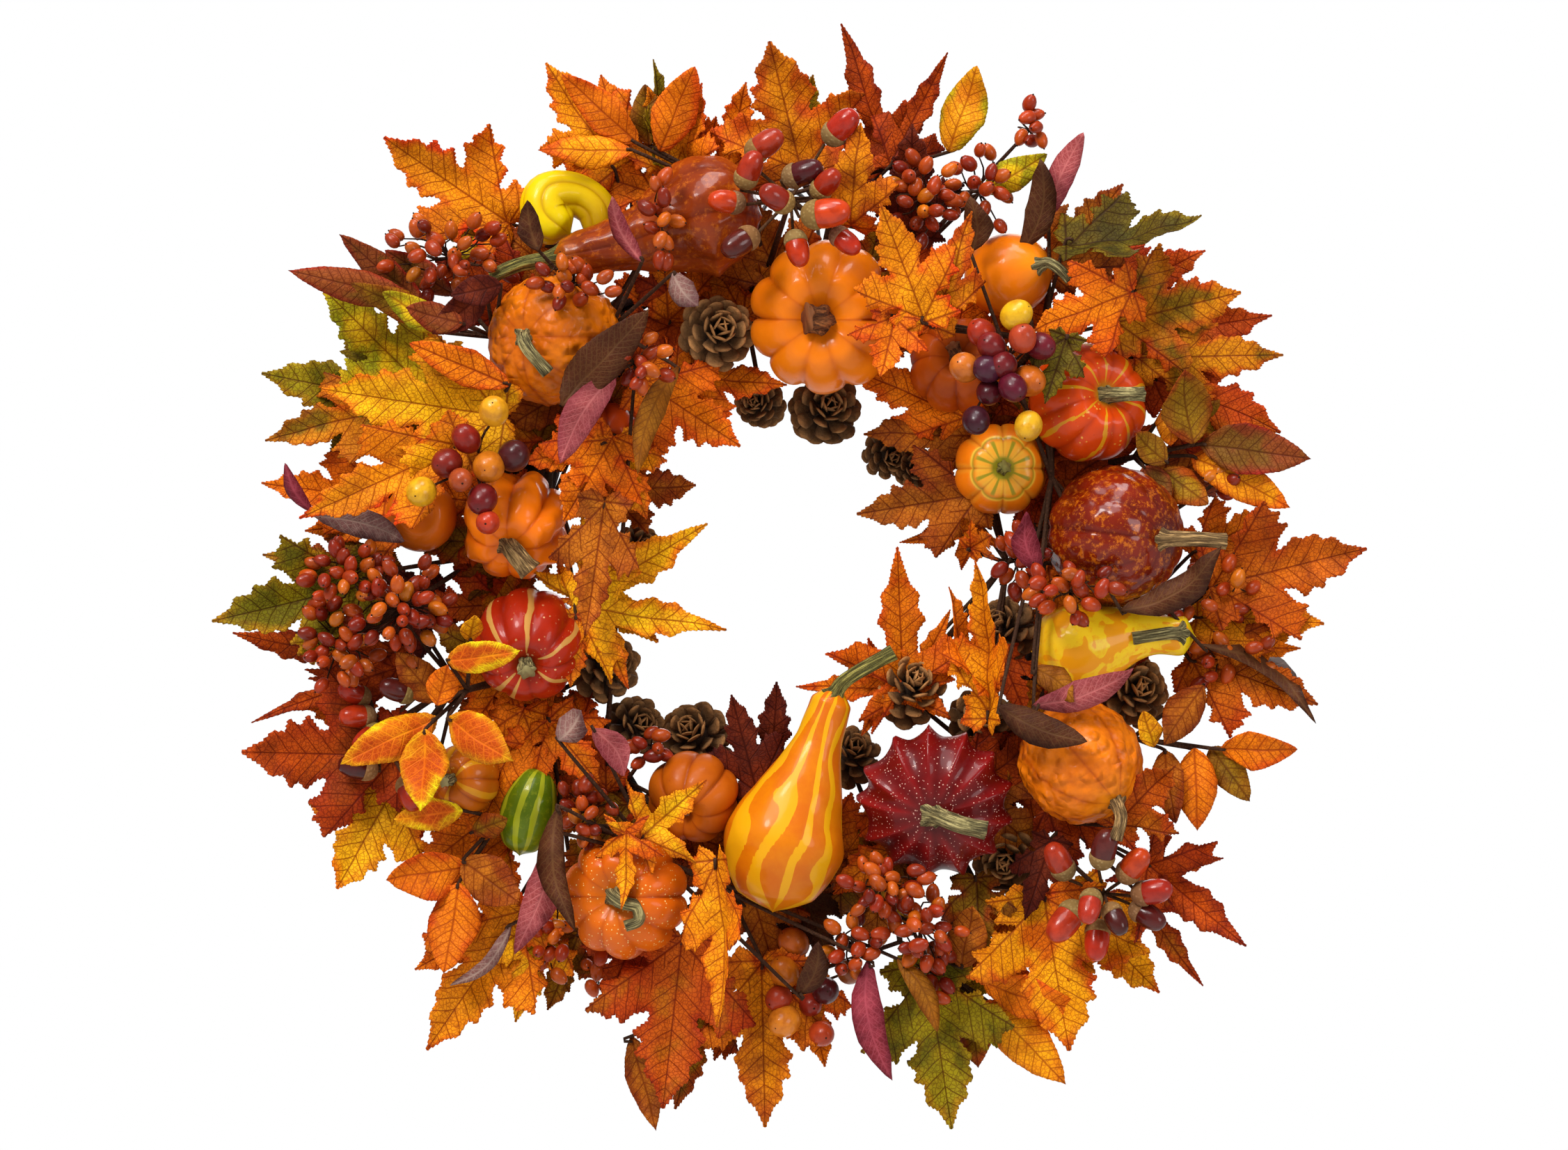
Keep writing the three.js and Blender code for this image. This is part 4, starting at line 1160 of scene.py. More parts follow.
def make_strand(index, material):
    """One strand of the ring: thin twigs twisted together along the strand's own path."""
    build = Build()
    rng = random.Random(f"strand{index}")
    steps = 170
    for twig in range(TWIGS_PER_STRAND):
        start = rng.uniform(0, 0.06)
        stop = rng.uniform(0.94, 1.0)
        ride_out = rng.uniform(0.55, 0.8) * STRAND_RADIUS if twig else 0.0
        turns = rng.uniform(3.5, 6.5) * rng.choice((-1, 1))
        phase = twig * 2 * math.pi / (TWIGS_PER_STRAND - 1)
        path = []
        for share in np.linspace(start, stop, steps):
            around = math.radians(20 + index * 120 + share * STRAND_SWEEP)
            twist = around * STRAND_TWISTS + index * 2 * math.pi / 3
            out = STRAND_OFFSET * math.cos(twist)
            back = STRAND_OFFSET * math.sin(twist)
            spin = phase + share * turns * 2 * math.pi
            wobble = 1 + 0.25 * noise.noise(Vector((share * 14, index * 9 + twig * 3, 0)))
            out += ride_out * wobble * math.cos(spin)
            back += ride_out * wobble * math.sin(spin)
            radius = RING_RADIUS + out
            path.append((radius * math.cos(around), back, radius * math.sin(around)))
        thick = TWIG_RADIUS * rng.uniform(0.65, 1.1)
        radii = [thick * (1 + 0.18 * noise.noise(Vector((share * 40, twig * 5, index)))
                          ) for share in np.linspace(0, 1, steps)]
        bark, faces, uvs = tube(path, radii, 8)
        uvs = np.array(uvs) * (1, 10)
        build.add(bark, faces, jittered(rng.choice(["4a3020", "3a2418", "5a3c26", "2e1c12"]), rng), uvs=uvs)
    name = f"vine_strand_{'abc'[index]}"
    return build.object(f"{name}_twigs", [material], "vine", [name])


def make_loop(material):
    """The hanging loop: wire bent to a closed oval."""
    low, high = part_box("hanging_loop")
    low, high = (np.array(low) - ORIGIN) / MM, (np.array(high) - ORIGIN) / MM
    middle, half = (low + high) / 2, (high - low) / 2 - WIRE_RADIUS
    build = Build()
    angles = np.linspace(0, 2 * math.pi, 96, endpoint=False)
    columns = 12
    rows = []
    for angle in angles:
        centre = middle + np.array((half[0] * math.cos(angle), 0, half[2] * math.sin(angle)))
        outward = np.array((math.cos(angle) / half[0], 0, math.sin(angle) / half[2]))
        outward /= np.linalg.norm(outward)
        for turn in np.arange(columns) * 2 * math.pi / columns:
            rows.append(centre + (outward * math.cos(turn) + np.array((0, 1,
                                                                       0)) * math.sin(turn)) * WIRE_RADIUS)
    add_ring(build, np.array(rows), 96, columns)
    return build.object("hanging_loop_wire", [material], "steel_wire", ["hanging_loop"], body="loop")


def add_ring(build, points, rows, columns):
    """Faces of a tube that closes on itself in both directions."""
    faces = [(i * columns + j, ((i + 1) % rows) * columns + j,
              ((i + 1) % rows) * columns + (j + 1) % columns,
              i * columns + (j + 1) % columns) for i in range(rows) for j in range(columns)]
    build.add(points, faces, (1, 1, 1))


def make_tie(material):
    """Wire wound three times round the ring, with an eyelet behind it."""
    low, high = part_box("hanger_tie")
    low, high = (np.array(low) - ORIGIN) / MM, (np.array(high) - ORIGIN) / MM
    tie_radius = (high[2] - low[2]) / 2 - WIRE_RADIUS
    eyelet_radius = (high[1] - tie_radius - 2 * WIRE_RADIUS) / 2
    build = Build()
    turns = 3
    shares = np.linspace(0, 1, 220)
    angles = shares * turns * 2 * math.pi
    path = np.column_stack([(shares - 0.5) * turns * WIRE_RADIUS * 2.1, tie_radius * np.cos(angles),
                            RING_RADIUS + tie_radius * np.sin(angles)])
    points, faces, uvs = tube(path, np.full(220, WIRE_RADIUS), 8)
    build.add(points, faces, (1, 1, 1), uvs=uvs)
    centre_y = tie_radius + WIRE_RADIUS + eyelet_radius
    rows = []
    for angle in np.linspace(0, 2 * math.pi, 40, endpoint=False):
        outward = np.array((0, math.cos(angle), math.sin(angle)))
        for turn in np.arange(8) * math.pi / 4:
            rows.append(np.array((0, centre_y, RING_RADIUS)) + outward * (eyelet_radius
                        + WIRE_RADIUS * math.cos(turn)) + np.array((1, 0,
                                                                    0)) * WIRE_RADIUS * math.sin(turn))
    add_ring(build, np.array(rows), 40, 8)
    return build.object("hanger_tie_wire", [material], "steel_wire", ["hanger_tie"])


# ---- the materials of the wreath -----------------------------------------------------------------------

MAPLE = leaf_material("maple_leaf", 0.62, 8.0, 0.9, (0.3, 0.13, 0.08), 0.5)
OVAL = leaf_material("oval_leaf", 0.58, 6.0, 0.8, (0.42, 0.24, 0.16), 0.45)
NARROW = leaf_material("narrow_leaf", 0.55, 4.5, 1.2, (0.55, 0.45, 0.45), 0.3)
BARK = bark_material("vine_bark")
TWIG = cap_material("wired_twig", (0.6, 0.55, 0.5), 0.3)
GREY_STEM = stem_material("grey_stem", rgb("b4a46c"), rgb("3c3218"))
TAN_STEM = stem_material("tan_stem", rgb("c09860"), rgb("54381c"))
BROWN_STEM = stem_material("brown_stem", rgb("9a5a2c"), rgb("4a2412"))
GREEN_STEM = stem_material("green_stem", rgb("a4984a"), rgb("3c3a18"))
CONE = scale_material("pine_cone")
BERRY = berry_material("lacquered_berry")
ACORN = berry_material("acorn_nut", 0.26, 0.3)
ROUGH = cap_material("acorn_cup", (0.72, 0.64, 0.54), 0.25)
WIRE = wire_material("dull_wire", rgb("6a6a6c"))


# ---- gourds --------------------------------------------------------------------------------------------

def turban_tint(turn, share):
    """Orange, with a pale ring round the stem and pale petals inside it, parted by green lines."""
    orange, pale, green = rgb("f07c0c"), rgb("f0c03c"), rgb("968c1c")
    petal = 0.5 + 0.5 * math.cos(turn * 16 * math.pi)
    ring = smooth(0.76, 0.77, share) * smooth(-0.79, -0.78, -share)
    line = smooth(0.788, 0.796, share) * smooth(-0.812, -0.804, -share)
    between = smooth(0.81, 0.83, share) * smooth(-0.16, -0.02, -petal) + smooth(0.93, 0.95, share)
    colour = orange + (pale - orange) * (smooth(0.6, 1.0, petal) * 0.3 + smooth(0.8, 0.84, share) * 0.55)
    colour = colour + (pale - colour) * ring
    return colour + (green - colour) * min(1, line + between)


def make_fruits():
    smooth_orange = fruit_material("orange_skin", rgb("c05a0c"), 0.34, 0.3, groove=(0.6, 0.34, 0.2),
                                   mottle=0.3)
    make_pumpkin("large_orange_pumpkin", 20, 137, 41, 0.8, 10, 0.15, (15, 133),
                 shaded("d66208", "ee7c0a", "d8680a", 0.3, 0.9), smooth_orange, "orange_fruit",
                 BROWN_STEM, (7.6, 6.6), [(-1, -4, 0), (-3, -7, 0), (-7, -9, 0)], rib_power=0.5)
    make_pumpkin("teardrop_gourd", 117, 160, 22, 1.1, 0, 0, (130, 163),
                 shaded("e46a09", "f17e0b", "fb9111"), smooth_orange, "orange_fruit",
                 GREY_STEM, (2.8, 2.4), [(4, -4, 1), (9, -6, -2), (15, -5, -8)], dimple=-0.12, shoulder=0.9)
    make_pumpkin("left_orange_gourd", -195, 32, 19, 1, 0, 0, (-195, 32), plain("da6c0c"),
                 smooth_orange, "orange_fruit")

    warty = fruit_material("warty_skin", rgb("a8480c"), 0.4, 0.2, mottle=0.55, mottle_scale=70,
                           groove=(0.55, 0.36, 0.25), wart=2.2, wart_scale=140)
    make_pumpkin("warty_orange_gourd", -123, 125, 35, 0.96, 8, 0.03, (-140, 125),
                 shaded("d06407", "dd7308", "cb6208"), warty, "orange_fruit",
                 GREY_STEM, (3.6, 2.8), [(0, -6, -1), (3, -11, -7), (13, -9, -19)],
                 lumps=1.5, lump_scale=0.16, dimple=0.08)
    make_pumpkin("bumpy_orange_gourd", 155, -98, 32, 0.98, 8, 0.03, (172, -118),
                 shaded("dd6b09", "ec7a0b", "ed8810"), warty, "orange_fruit",
                 TAN_STEM, (3.4, 2.8), [(1, -5, -3), (2, -8, -9), (-1, -7, -19)],
                 lumps=1.7, lump_scale=0.17, dimple=-0.06)
    make_pumpkin("knobbly_orange_pumpkin", -144, 27, 29, 0.95, 8, 0.16, (-148, 13),
                 shaded("f6720a", "ff800d", "f1720c"), smooth_orange, "orange_fruit",
                 TAN_STEM, (4.2, 5.2), [(2, -4, -2), (6, -8, -7), (12, -8, -14)],
                 lumps=2.6, lump_scale=0.07, rib_power=0.8, dimple=0.2)

    brown = fruit_material("brown_skin", rgb("7a2c0c"), 0.38, 0.08, mottle=0.6, mottle_scale=35)
    make_pumpkin("brown_pumpkin", 90, 112, 26, 0.85, 8, 0.1, (88, 118),
                 shaded("af4509", "bb5009", "8d3309", 0.25, 0.88),
                 brown, "orange_fruit", BROWN_STEM, (3.6, 3.2), [(0, -4, 2), (-2, -7, 6)])
    make_pumpkin("small_brown_pumpkin", -50, -117, 25, 0.85, 8, 0.12, (-57, -128),
                 shaded("af4f0a", "ba5a0a", "752e08", 0.3, 0.93), brown, "orange_fruit",
                 BROWN_STEM, (2.6, 2.2), [(0, -2, 0), (0, -4, -1)])
    make_pumpkin("inner_red_pumpkin", -97, 72, 21, 0.85, 8, 0.1, (-94, 66), plain("b03c0a"), brown,
                 "red_fruit")

    make_pumpkin("turban_gourd", 113, 57, 25, 0.8, 8, 0.09, (114, 57), turban_tint, smooth_orange,
                 "orange_fruit", GREEN_STEM, (3.4, 3.0), [(0, -3, 0), (1, -5, 1)], dimple=0.12)
    striped = fruit_material("striped_skin", rgb("d28c14"), 0.32, 0.3, speckle=rgb("dc9838"),
                             speckle_share=0.3, mottle=0.4)
    make_pumpkin("striped_orange_pumpkin", 159, 92, 32, 0.85, 9, 0.1, (172, 98),
                 shaded("c33708", "d64508", "a0901c", 0.3, 0.93), striped, "red_fruit",
                 GREY_STEM, (3.8, 3.2), [(5, -6, 0), (12, -9, 0), (20, -7, 0)],
                 marker=stripes(9, 0.06, 4, (0.1, 0.97), 0.4, 0.02))
    make_pumpkin("small_striped_pumpkin", -172, -108, 19, 0.9, 8, 0.08, (-181, -107), plain("c8680c"),
                 striped, "orange_fruit", GREY_STEM, (3.2, 2.6), [(-2, -4, 0), (-4, -9, -1)],
                 marker=stripes(6, 0.11, 6))
    red = fruit_material("red_skin", rgb("cc9448"), 0.34, 0.3, speckle=rgb("d8a470"), speckle_share=0.4,
                         mottle=0.55)
    make_pumpkin("red_striped_pumpkin", -137, -36, 30, 0.95, 9, 0.1, (-138, -50),
                 shaded("c3340c", "b2280a", "812d0d", 0.3, 0.92), red, "red_fruit",
                 GREY_STEM, (4.4, 4.0), [(0, -3, -2), (1, -6, -5)], marker=stripes(6, 0.06, 9, (0.05, 0.96),
                                                                                   0.7))
    speckled = fruit_material("speckled_skin", rgb("dc9a50"), 0.36, 0.22, speckle=rgb("e8bc70"),
                              speckle_share=1.2, speckle_scale=460, mottle=0.35)
    make_pumpkin("speckled_orange_pumpkin", -86, -169, 34, 0.82, 10, 0.13, (-95, -168),
                 shaded("d25608", "df660a", "db6f0c"), speckled, "orange_fruit",
                 GREY_STEM, (3.8, 2.4), [(0, -6, 0), (5, -10, -3), (12, -9, -5), (13, -10, -12),
                                         (6, -11, -15)])

    maroon = fruit_material("maroon_skin", rgb("c4660e"), 0.24, 0.5, groove=(0.4, 0.22, 0.18), mottle=0.7,
                            mottle_scale=40, streak=0.85)
    make_pumpkin("maroon_pumpkin", 173, 22, 36, 0.95, 10, 0.05, (199, 19),
                 shaded("9b3a07", "802006", "6a1706", 0.25, 0.88), maroon, "dark_fruit",
                 TAN_STEM, (4.0, 3.4), [(7, -4, 0), (19, -7, 0), (33, -6, -1)],
                 lumps=1.2, lump_scale=0.11, dimple=0.06)
    pattypan = fruit_material("pattypan_skin", rgb("9a3a2c"), 0.36, 0.3, speckle=rgb("d09c8c"),
                              speckle_share=1.0, speckle_scale=560, mottle=0.6, groove=(0.4, 0.3, 0.32))
    make_pumpkin("pattypan_squash", 78, -120, 43, 0.58, 13, 0.15, (74, -131),
                 shaded("650c0c", "851010", "5c1618", 0.3, 0.82), pattypan, "dark_fruit",
                 GREY_STEM, (4.4, 4.0), [(5, -6, -1), (14, -10, -4), (28, -9, -7)],
                 dimple=0.1, rib_power=0.8, shoulder=1.2, columns=208, pointed=True)

    yellow = fruit_material("yellow_skin", rgb("8a5a10"), 0.36, 0.25, mottle=0.35, groove=(0.6, 0.4, 0.2))
    make_long_gourd("yellow_crookneck_gourd", [(-115, 6, 181), (-127, 4, 191), (-127, 2, 202),
                                               (-113, -2, 203), (-102, -3, 195), (-99, -3, 178)],
                    [(0, 0), (0.08, 10), (0.22, 14), (0.42, 13.5), (0.6, 12), (0.9, 9.5), (1, 0)],
                    shaded("f5d904", "f1d104", "cc9e0a", 0.3,
                           0.5), yellow, "yellow_fruit", ribs=6, depth=0.12)
    swan = fruit_material("swan_skin", rgb("b85c0e"), 0.3, 0.3, mottle=0.65, mottle_scale=38, streak=0.75,
                          groove=(0.45, 0.26, 0.2))
    make_long_gourd("dark_swan_gourd", [(-13, 0, 190), (-44, 0, 190), (-84, 4, 176), (-126, 6, 167)],
                    [(0, 0), (0.06, 20), (0.24, 32), (0.42, 26), (0.6, 17), (0.94, 9), (1, 0)],
                    shaded("872809", "913809", "a9580e"), swan, "dark_fruit", 7, 0.05,
                    GREEN_STEM, (4.0, 3.2), [(-120, 6, 168), (-140, 8, 165), (-157, 8, 158)],
                    lumps=2.4, lump_scale=0.06)
    bicolour = fruit_material("bicolour_skin", rgb("f6a010"), 0.34, 0.3, mottle=0.2,
                              groove=(0.9, 0.62, 0.4), streak=0.5)

    def patch(turn, share):
        around = Vector((math.cos(turn * 2 * math.pi), math.sin(turn * 2 * math.pi), share * 5))
        spots = noise.noise(around * 1.6) + 0.55 * noise.noise(around * 4.5)
        return float(smooth(-0.3, 0.4, spots + 0.05 - 0.2 * share))

    make_long_gourd("bicolour_gourd", [(129, 0, -40), (155, 0, -38), (185, 0, -31), (217, 0, -32)],
                    [(0, 0), (0.07, 17), (0.28, 24), (0.5, 18), (0.75, 11), (0.93, 10), (1, 0)],
                    shaded("ffc81c", "ffd41c", "d8c414", 0.5, 0.86), bicolour, "yellow_fruit",
                    marker=patch, stem_material=GREY_STEM,
                    stem_size=(3.4, 2.8), stem_points=[(208, 8, -30), (201, 14, -30), (182, 15, -33)])
    flamed = fruit_material("flamed_skin", rgb("e4a00c"), 0.36, 0.25, mottle=0.7, mottle_scale=45,
                            groove=(0.85, 0.55, 0.3))
    make_long_gourd("long_striped_gourd", [(-8, 0, -178), (-2, 0, -142), (12, 0, -100), (26, 0, -58)],
                    [(0, 0), (0.06, 19), (0.28, 32), (0.5, 24), (0.75, 13), (0.96, 10), (1, 0)],
                    plain("d87806"), flamed, "orange_fruit", marker=stripes(12, 0.2, 11, (-0.1, 1.1), 0.9,
                                                                            0.06),
                    stem_material=GREEN_STEM, stem_size=(3.8, 3.4),
                    stem_points=[(24, 2, -64), (32, 5, -54), (56, 6, -40)], lumps=0.8, lump_scale=0.05)
    green = fruit_material("green_skin", rgb("a8ac1c"), 0.3, 0.35, mottle=0.6, groove=(0.5, 0.6, 0.4),
                           streak=0.35)
    make_long_gourd("green_striped_gourd", [(-143, 0, -149), (-138, 0, -125), (-131, 0, -101)],
                    [(0, 0), (0.12, 10), (0.4, 15), (0.7, 13), (0.92, 7.5), (1, 0)],
                    plain("697e0c"), green, "green_fruit", marker=stripes(9, 0.17, 13))


# ---- pine cones, berries and acorns --------------------------------------------------------------------

# Node number, lean to the side and upwards of the tip, and brightness; cones without a node follow.
CONE_LOOKS = [(1, 0.15, 0.1, 1.0), (2, -0.3, 0.1, 0.8), (3, 0.2, 0.2, 0.8), (4, 0.5, 0.3, 0.8),
              (5, -0.3, 0.4, 1.0), (6, 0.2, 0.5, 1.1), (7, 0.2, 0.2, 1.1), (8, -0.2, -0.1, 1.0)]
# x, y, z, radius, lean and lift of the tip.
EXTRA_CONES = [(54, -14, 66, 12, 0.3, -0.2), (68, -20, 58, 10, 0.2, 0.1), (-82, -22, -80, 14, 0.4, 0.2),
               (104, -26, -76, 15, 0.2, 0.4), (116, -30, -28, 15, -0.4, 0.4), (-78, -14, 86, 13, 0.3, 0.3),
               (-80, -20, 16, 11, 0.4, 0.2), (34, -20, -96, 14, 0.2, 0.5)]


def make_cones():
    for number, lean, lift, tone in CONE_LOOKS:
        node = f"pine_cone_{number}"
        low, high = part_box(node)
        radius = (high.x - low.x) / 2 / MM
        make_cone(f"{node}_scales", node_middle(node), radius, (lean, -1, lift), [CONE, TWIG], [node],
                  tone=tone)
    for index, (x, y, z, radius, lean, lift) in enumerate(EXTRA_CONES):
        make_cone(f"small_cone_{index + 1}", (x, y, z), radius, (lean, -1, lift), [CONE, TWIG], count=42,
                  tone=0.85)


def make_berries():
    parts = [BERRY, ROUGH, TWIG]
    make_berry_spray("berry_spray_top_left_fruit", 130, [
        (-180, 170, -56, 34, 20, 30, 16), (-112, 154, -96, 25, 10, 16, 4), (-66, 186, -94, 8, 24, 12, 4)],
        parts, ["berry_spray_top_left"])
    make_berry_spray("berry_spray_top_right_fruit", 72, [
        (70, 200, -58, 18, 22, 20, 14), (102, 204, -54, 18, 24, 20, 12), (130, 240, -30, 7, 12, 7, 4)],
        parts, ["berry_spray_top_right"])
    make_berry_spray("berry_spray_right_fruit", 2, [
        (122, 8, -66, 12, 22, 14, 8), (148, -8, -96, 24, 16, 18, 8), (232, 52, -50, 10, 12, 6, 6),
        (226, -8, -44, 28, 18, 14, 10), (238, -44, -40, 26, 16, 13, 6)], parts, ["berry_spray_right"])
    make_berry_spray("berry_spray_left_fruit", 176, [
        (-232, 0, -62, 24, 20, 26, 18), (-204, -16, -70, 26, 28, 40, 22), (-238, -36, -60, 20, 22, 24, 14)],
        parts, ["berry_spray_left"])
    make_berry_spray("berry_spray_bottom_fruit", -72, [
        (52, -164, -66, 22, 16, 24, 14), (70, -186, -64, 20, 20, 26, 14), (34, -196, -56, 16, 18, 14, 10),
        (76, -208, -52, 14, 16, 12, 6)], parts, ["berry_spray_bottom"])
    make_berry_spray("berry_spray_lower_left_fruit", -128, [
        (-106, -124, -58, 13, 20, 16, 8), (-126, -192, -44, 10, 20, 12, 6), (-104, -210, -36, 6, 10, 4, 2),
        (-72, -90, -52, 14, 9, 8, 4), (-80, 112, -92, 22, 14, 16, 8)], parts)
    make_round_berries("round_berry_pick_left_fruit", 158, [
        (-153, 86, 7.5, "e0a818"), (-191, 44, 7.5, "dca41c"), (-168, 72, 7, "8c2414"),
        (-178, 59, 7.5, "7a1c14"),
        (-159, 40, 7.5, "6a1414"), (-156, 57, 8, "cc6a14"), (-143, 63, 8, "4a1a20"),
        (-156, 28, 6, "b83418"),
        (-170, 50, 6, "a8441c")], parts, -98, ["round_berry_pick_left"])
    make_round_berries("round_berry_pick_right_fruit", 44, [
        (119, 136, 7.5, "e0aa18"), (125, 78, 7, "dca41c"), (101, 127, 7, "a83418"), (122, 124, 7, "b04420"),
        (106, 120, 7, "7a1c1c"), (132, 120, 7, "6a1420"), (117, 98, 7, "5a1420"), (105, 96, 6.5, "4c1018"),
        (104, 108, 7, "4a1a2c"), (98, 81, 7, "3c1420"), (92, 109, 7.5, "c86a1c"), (126, 102, 8, "c86414"),
        (112, 110, 7, "6a1a1c")], parts, -98, ["round_berry_pick_right"])
    make_round_berries("round_berry_pick_bottom_fruit", -88, [
        (3, -195, 7.5, "c8641c"), (-2, -210, 7.5, "cc6c18"), (-2, -236, 8, "d8781c"),
        (-5, -224, 6.5, "a83418"),
        (18, -243, 6.5, "b03c1c"), (20, -220, 7, "4a1414"), (33, -210, 6.5, "8a4a1c"),
        (12, -228, 6, "9a2c18")],
        parts, -46)
    nuts = [ACORN, ROUGH, TWIG]
    make_acorn_pick("acorn_pick_top_fruit", 94, [
        (-20, 212, -96, 4, 9, -4, 0.95, "a83014"), (-12, 226, -84, 9, 6, -3, 1.0, "a8341a"),
        (28, 236, -78, 7, 7, -5, 1.05, "b02c14"), (8, 210, -98, 10, 3, -4, 1.0, "4a1414"),
        (-25, 173, -108, -8, -5, -4, 1.0, "54180f"), (20, 188, -112, 10, 1, -3, 1.15, "c8380f"),
        (5, 170, -106, 2, -9, -3, 0.9, "b83410"), (-6, 196, -112, -7, 4, -6, 0.95, "8a2410"),
        (-32, 195, -100, -9, 1, -4, 0.9, "c0400f"), (30, 174, -104, 7, -6, -4, 0.85, "b02c10"),
        (20, 204, -104, 6, 6, -6, 0.9, "a02c10")], nuts, ["acorn_pick_top"])
    make_acorn_pick("acorn_pick_lower_right_fruit", -46, [
        (143, -150, -66, -5, 9, -4, 1.0, "a8301c"), (166, -143, -78, 2, 10, -4, 1.0, "5a2418"),
        (182, -152, -72, 6, 8, -5, 1.0, "b8380f"), (192, -166, -70, 9, 2, -4, 1.0, "a82c14"),
        (190, -179, -64, 8, -5, -4, 0.95, "54180f"), (158, -173, -84, -2, -8, -6, 0.9, "b0341c"),
        (146, -182, -70, -7, -8, -4, 1.15, "b0341c"), (163, -192, -66, -1, -9, -4, 1.0, "b42c14"),
        (172, -180, -78, 4, -8, -5, 0.85, "4a1812")], nuts, ["acorn_pick_lower_right"])
    make_acorn_pick("acorn_pick_left_fruit", 196, [
        (-230, -62, -52, -8, 4, -5, 0.85, "a82c14"), (-228, -74, -56, -9, 0, -5, 0.9, "b4300f"),
        (-222, -86, -58, -7, -6, -5, 0.9, "a82c14"), (-206, -60, -66, -9, 3, -4, 0.9, "54180f"),
        (-228, -101, -54, -9, 2, -3, 0.95, "4a1410"), (-200, -115, -60, 3, -8, -4, 0.9, "a82c14")], nuts)


# ---- leaves --------------------------------------------------------------------------------------------

CUPPED = {"fold": 0.45, "bend": 0.5, "roll": 0.0}
CURLED = {"fold": 0.3, "bend": 1.1, "roll": 0.0}
FOLDED = {"fold": 0.95, "bend": 0.5, "roll": 0.5}
SIDEWAYS = {"fold": 0.7, "bend": 0.4, "roll": -0.7}

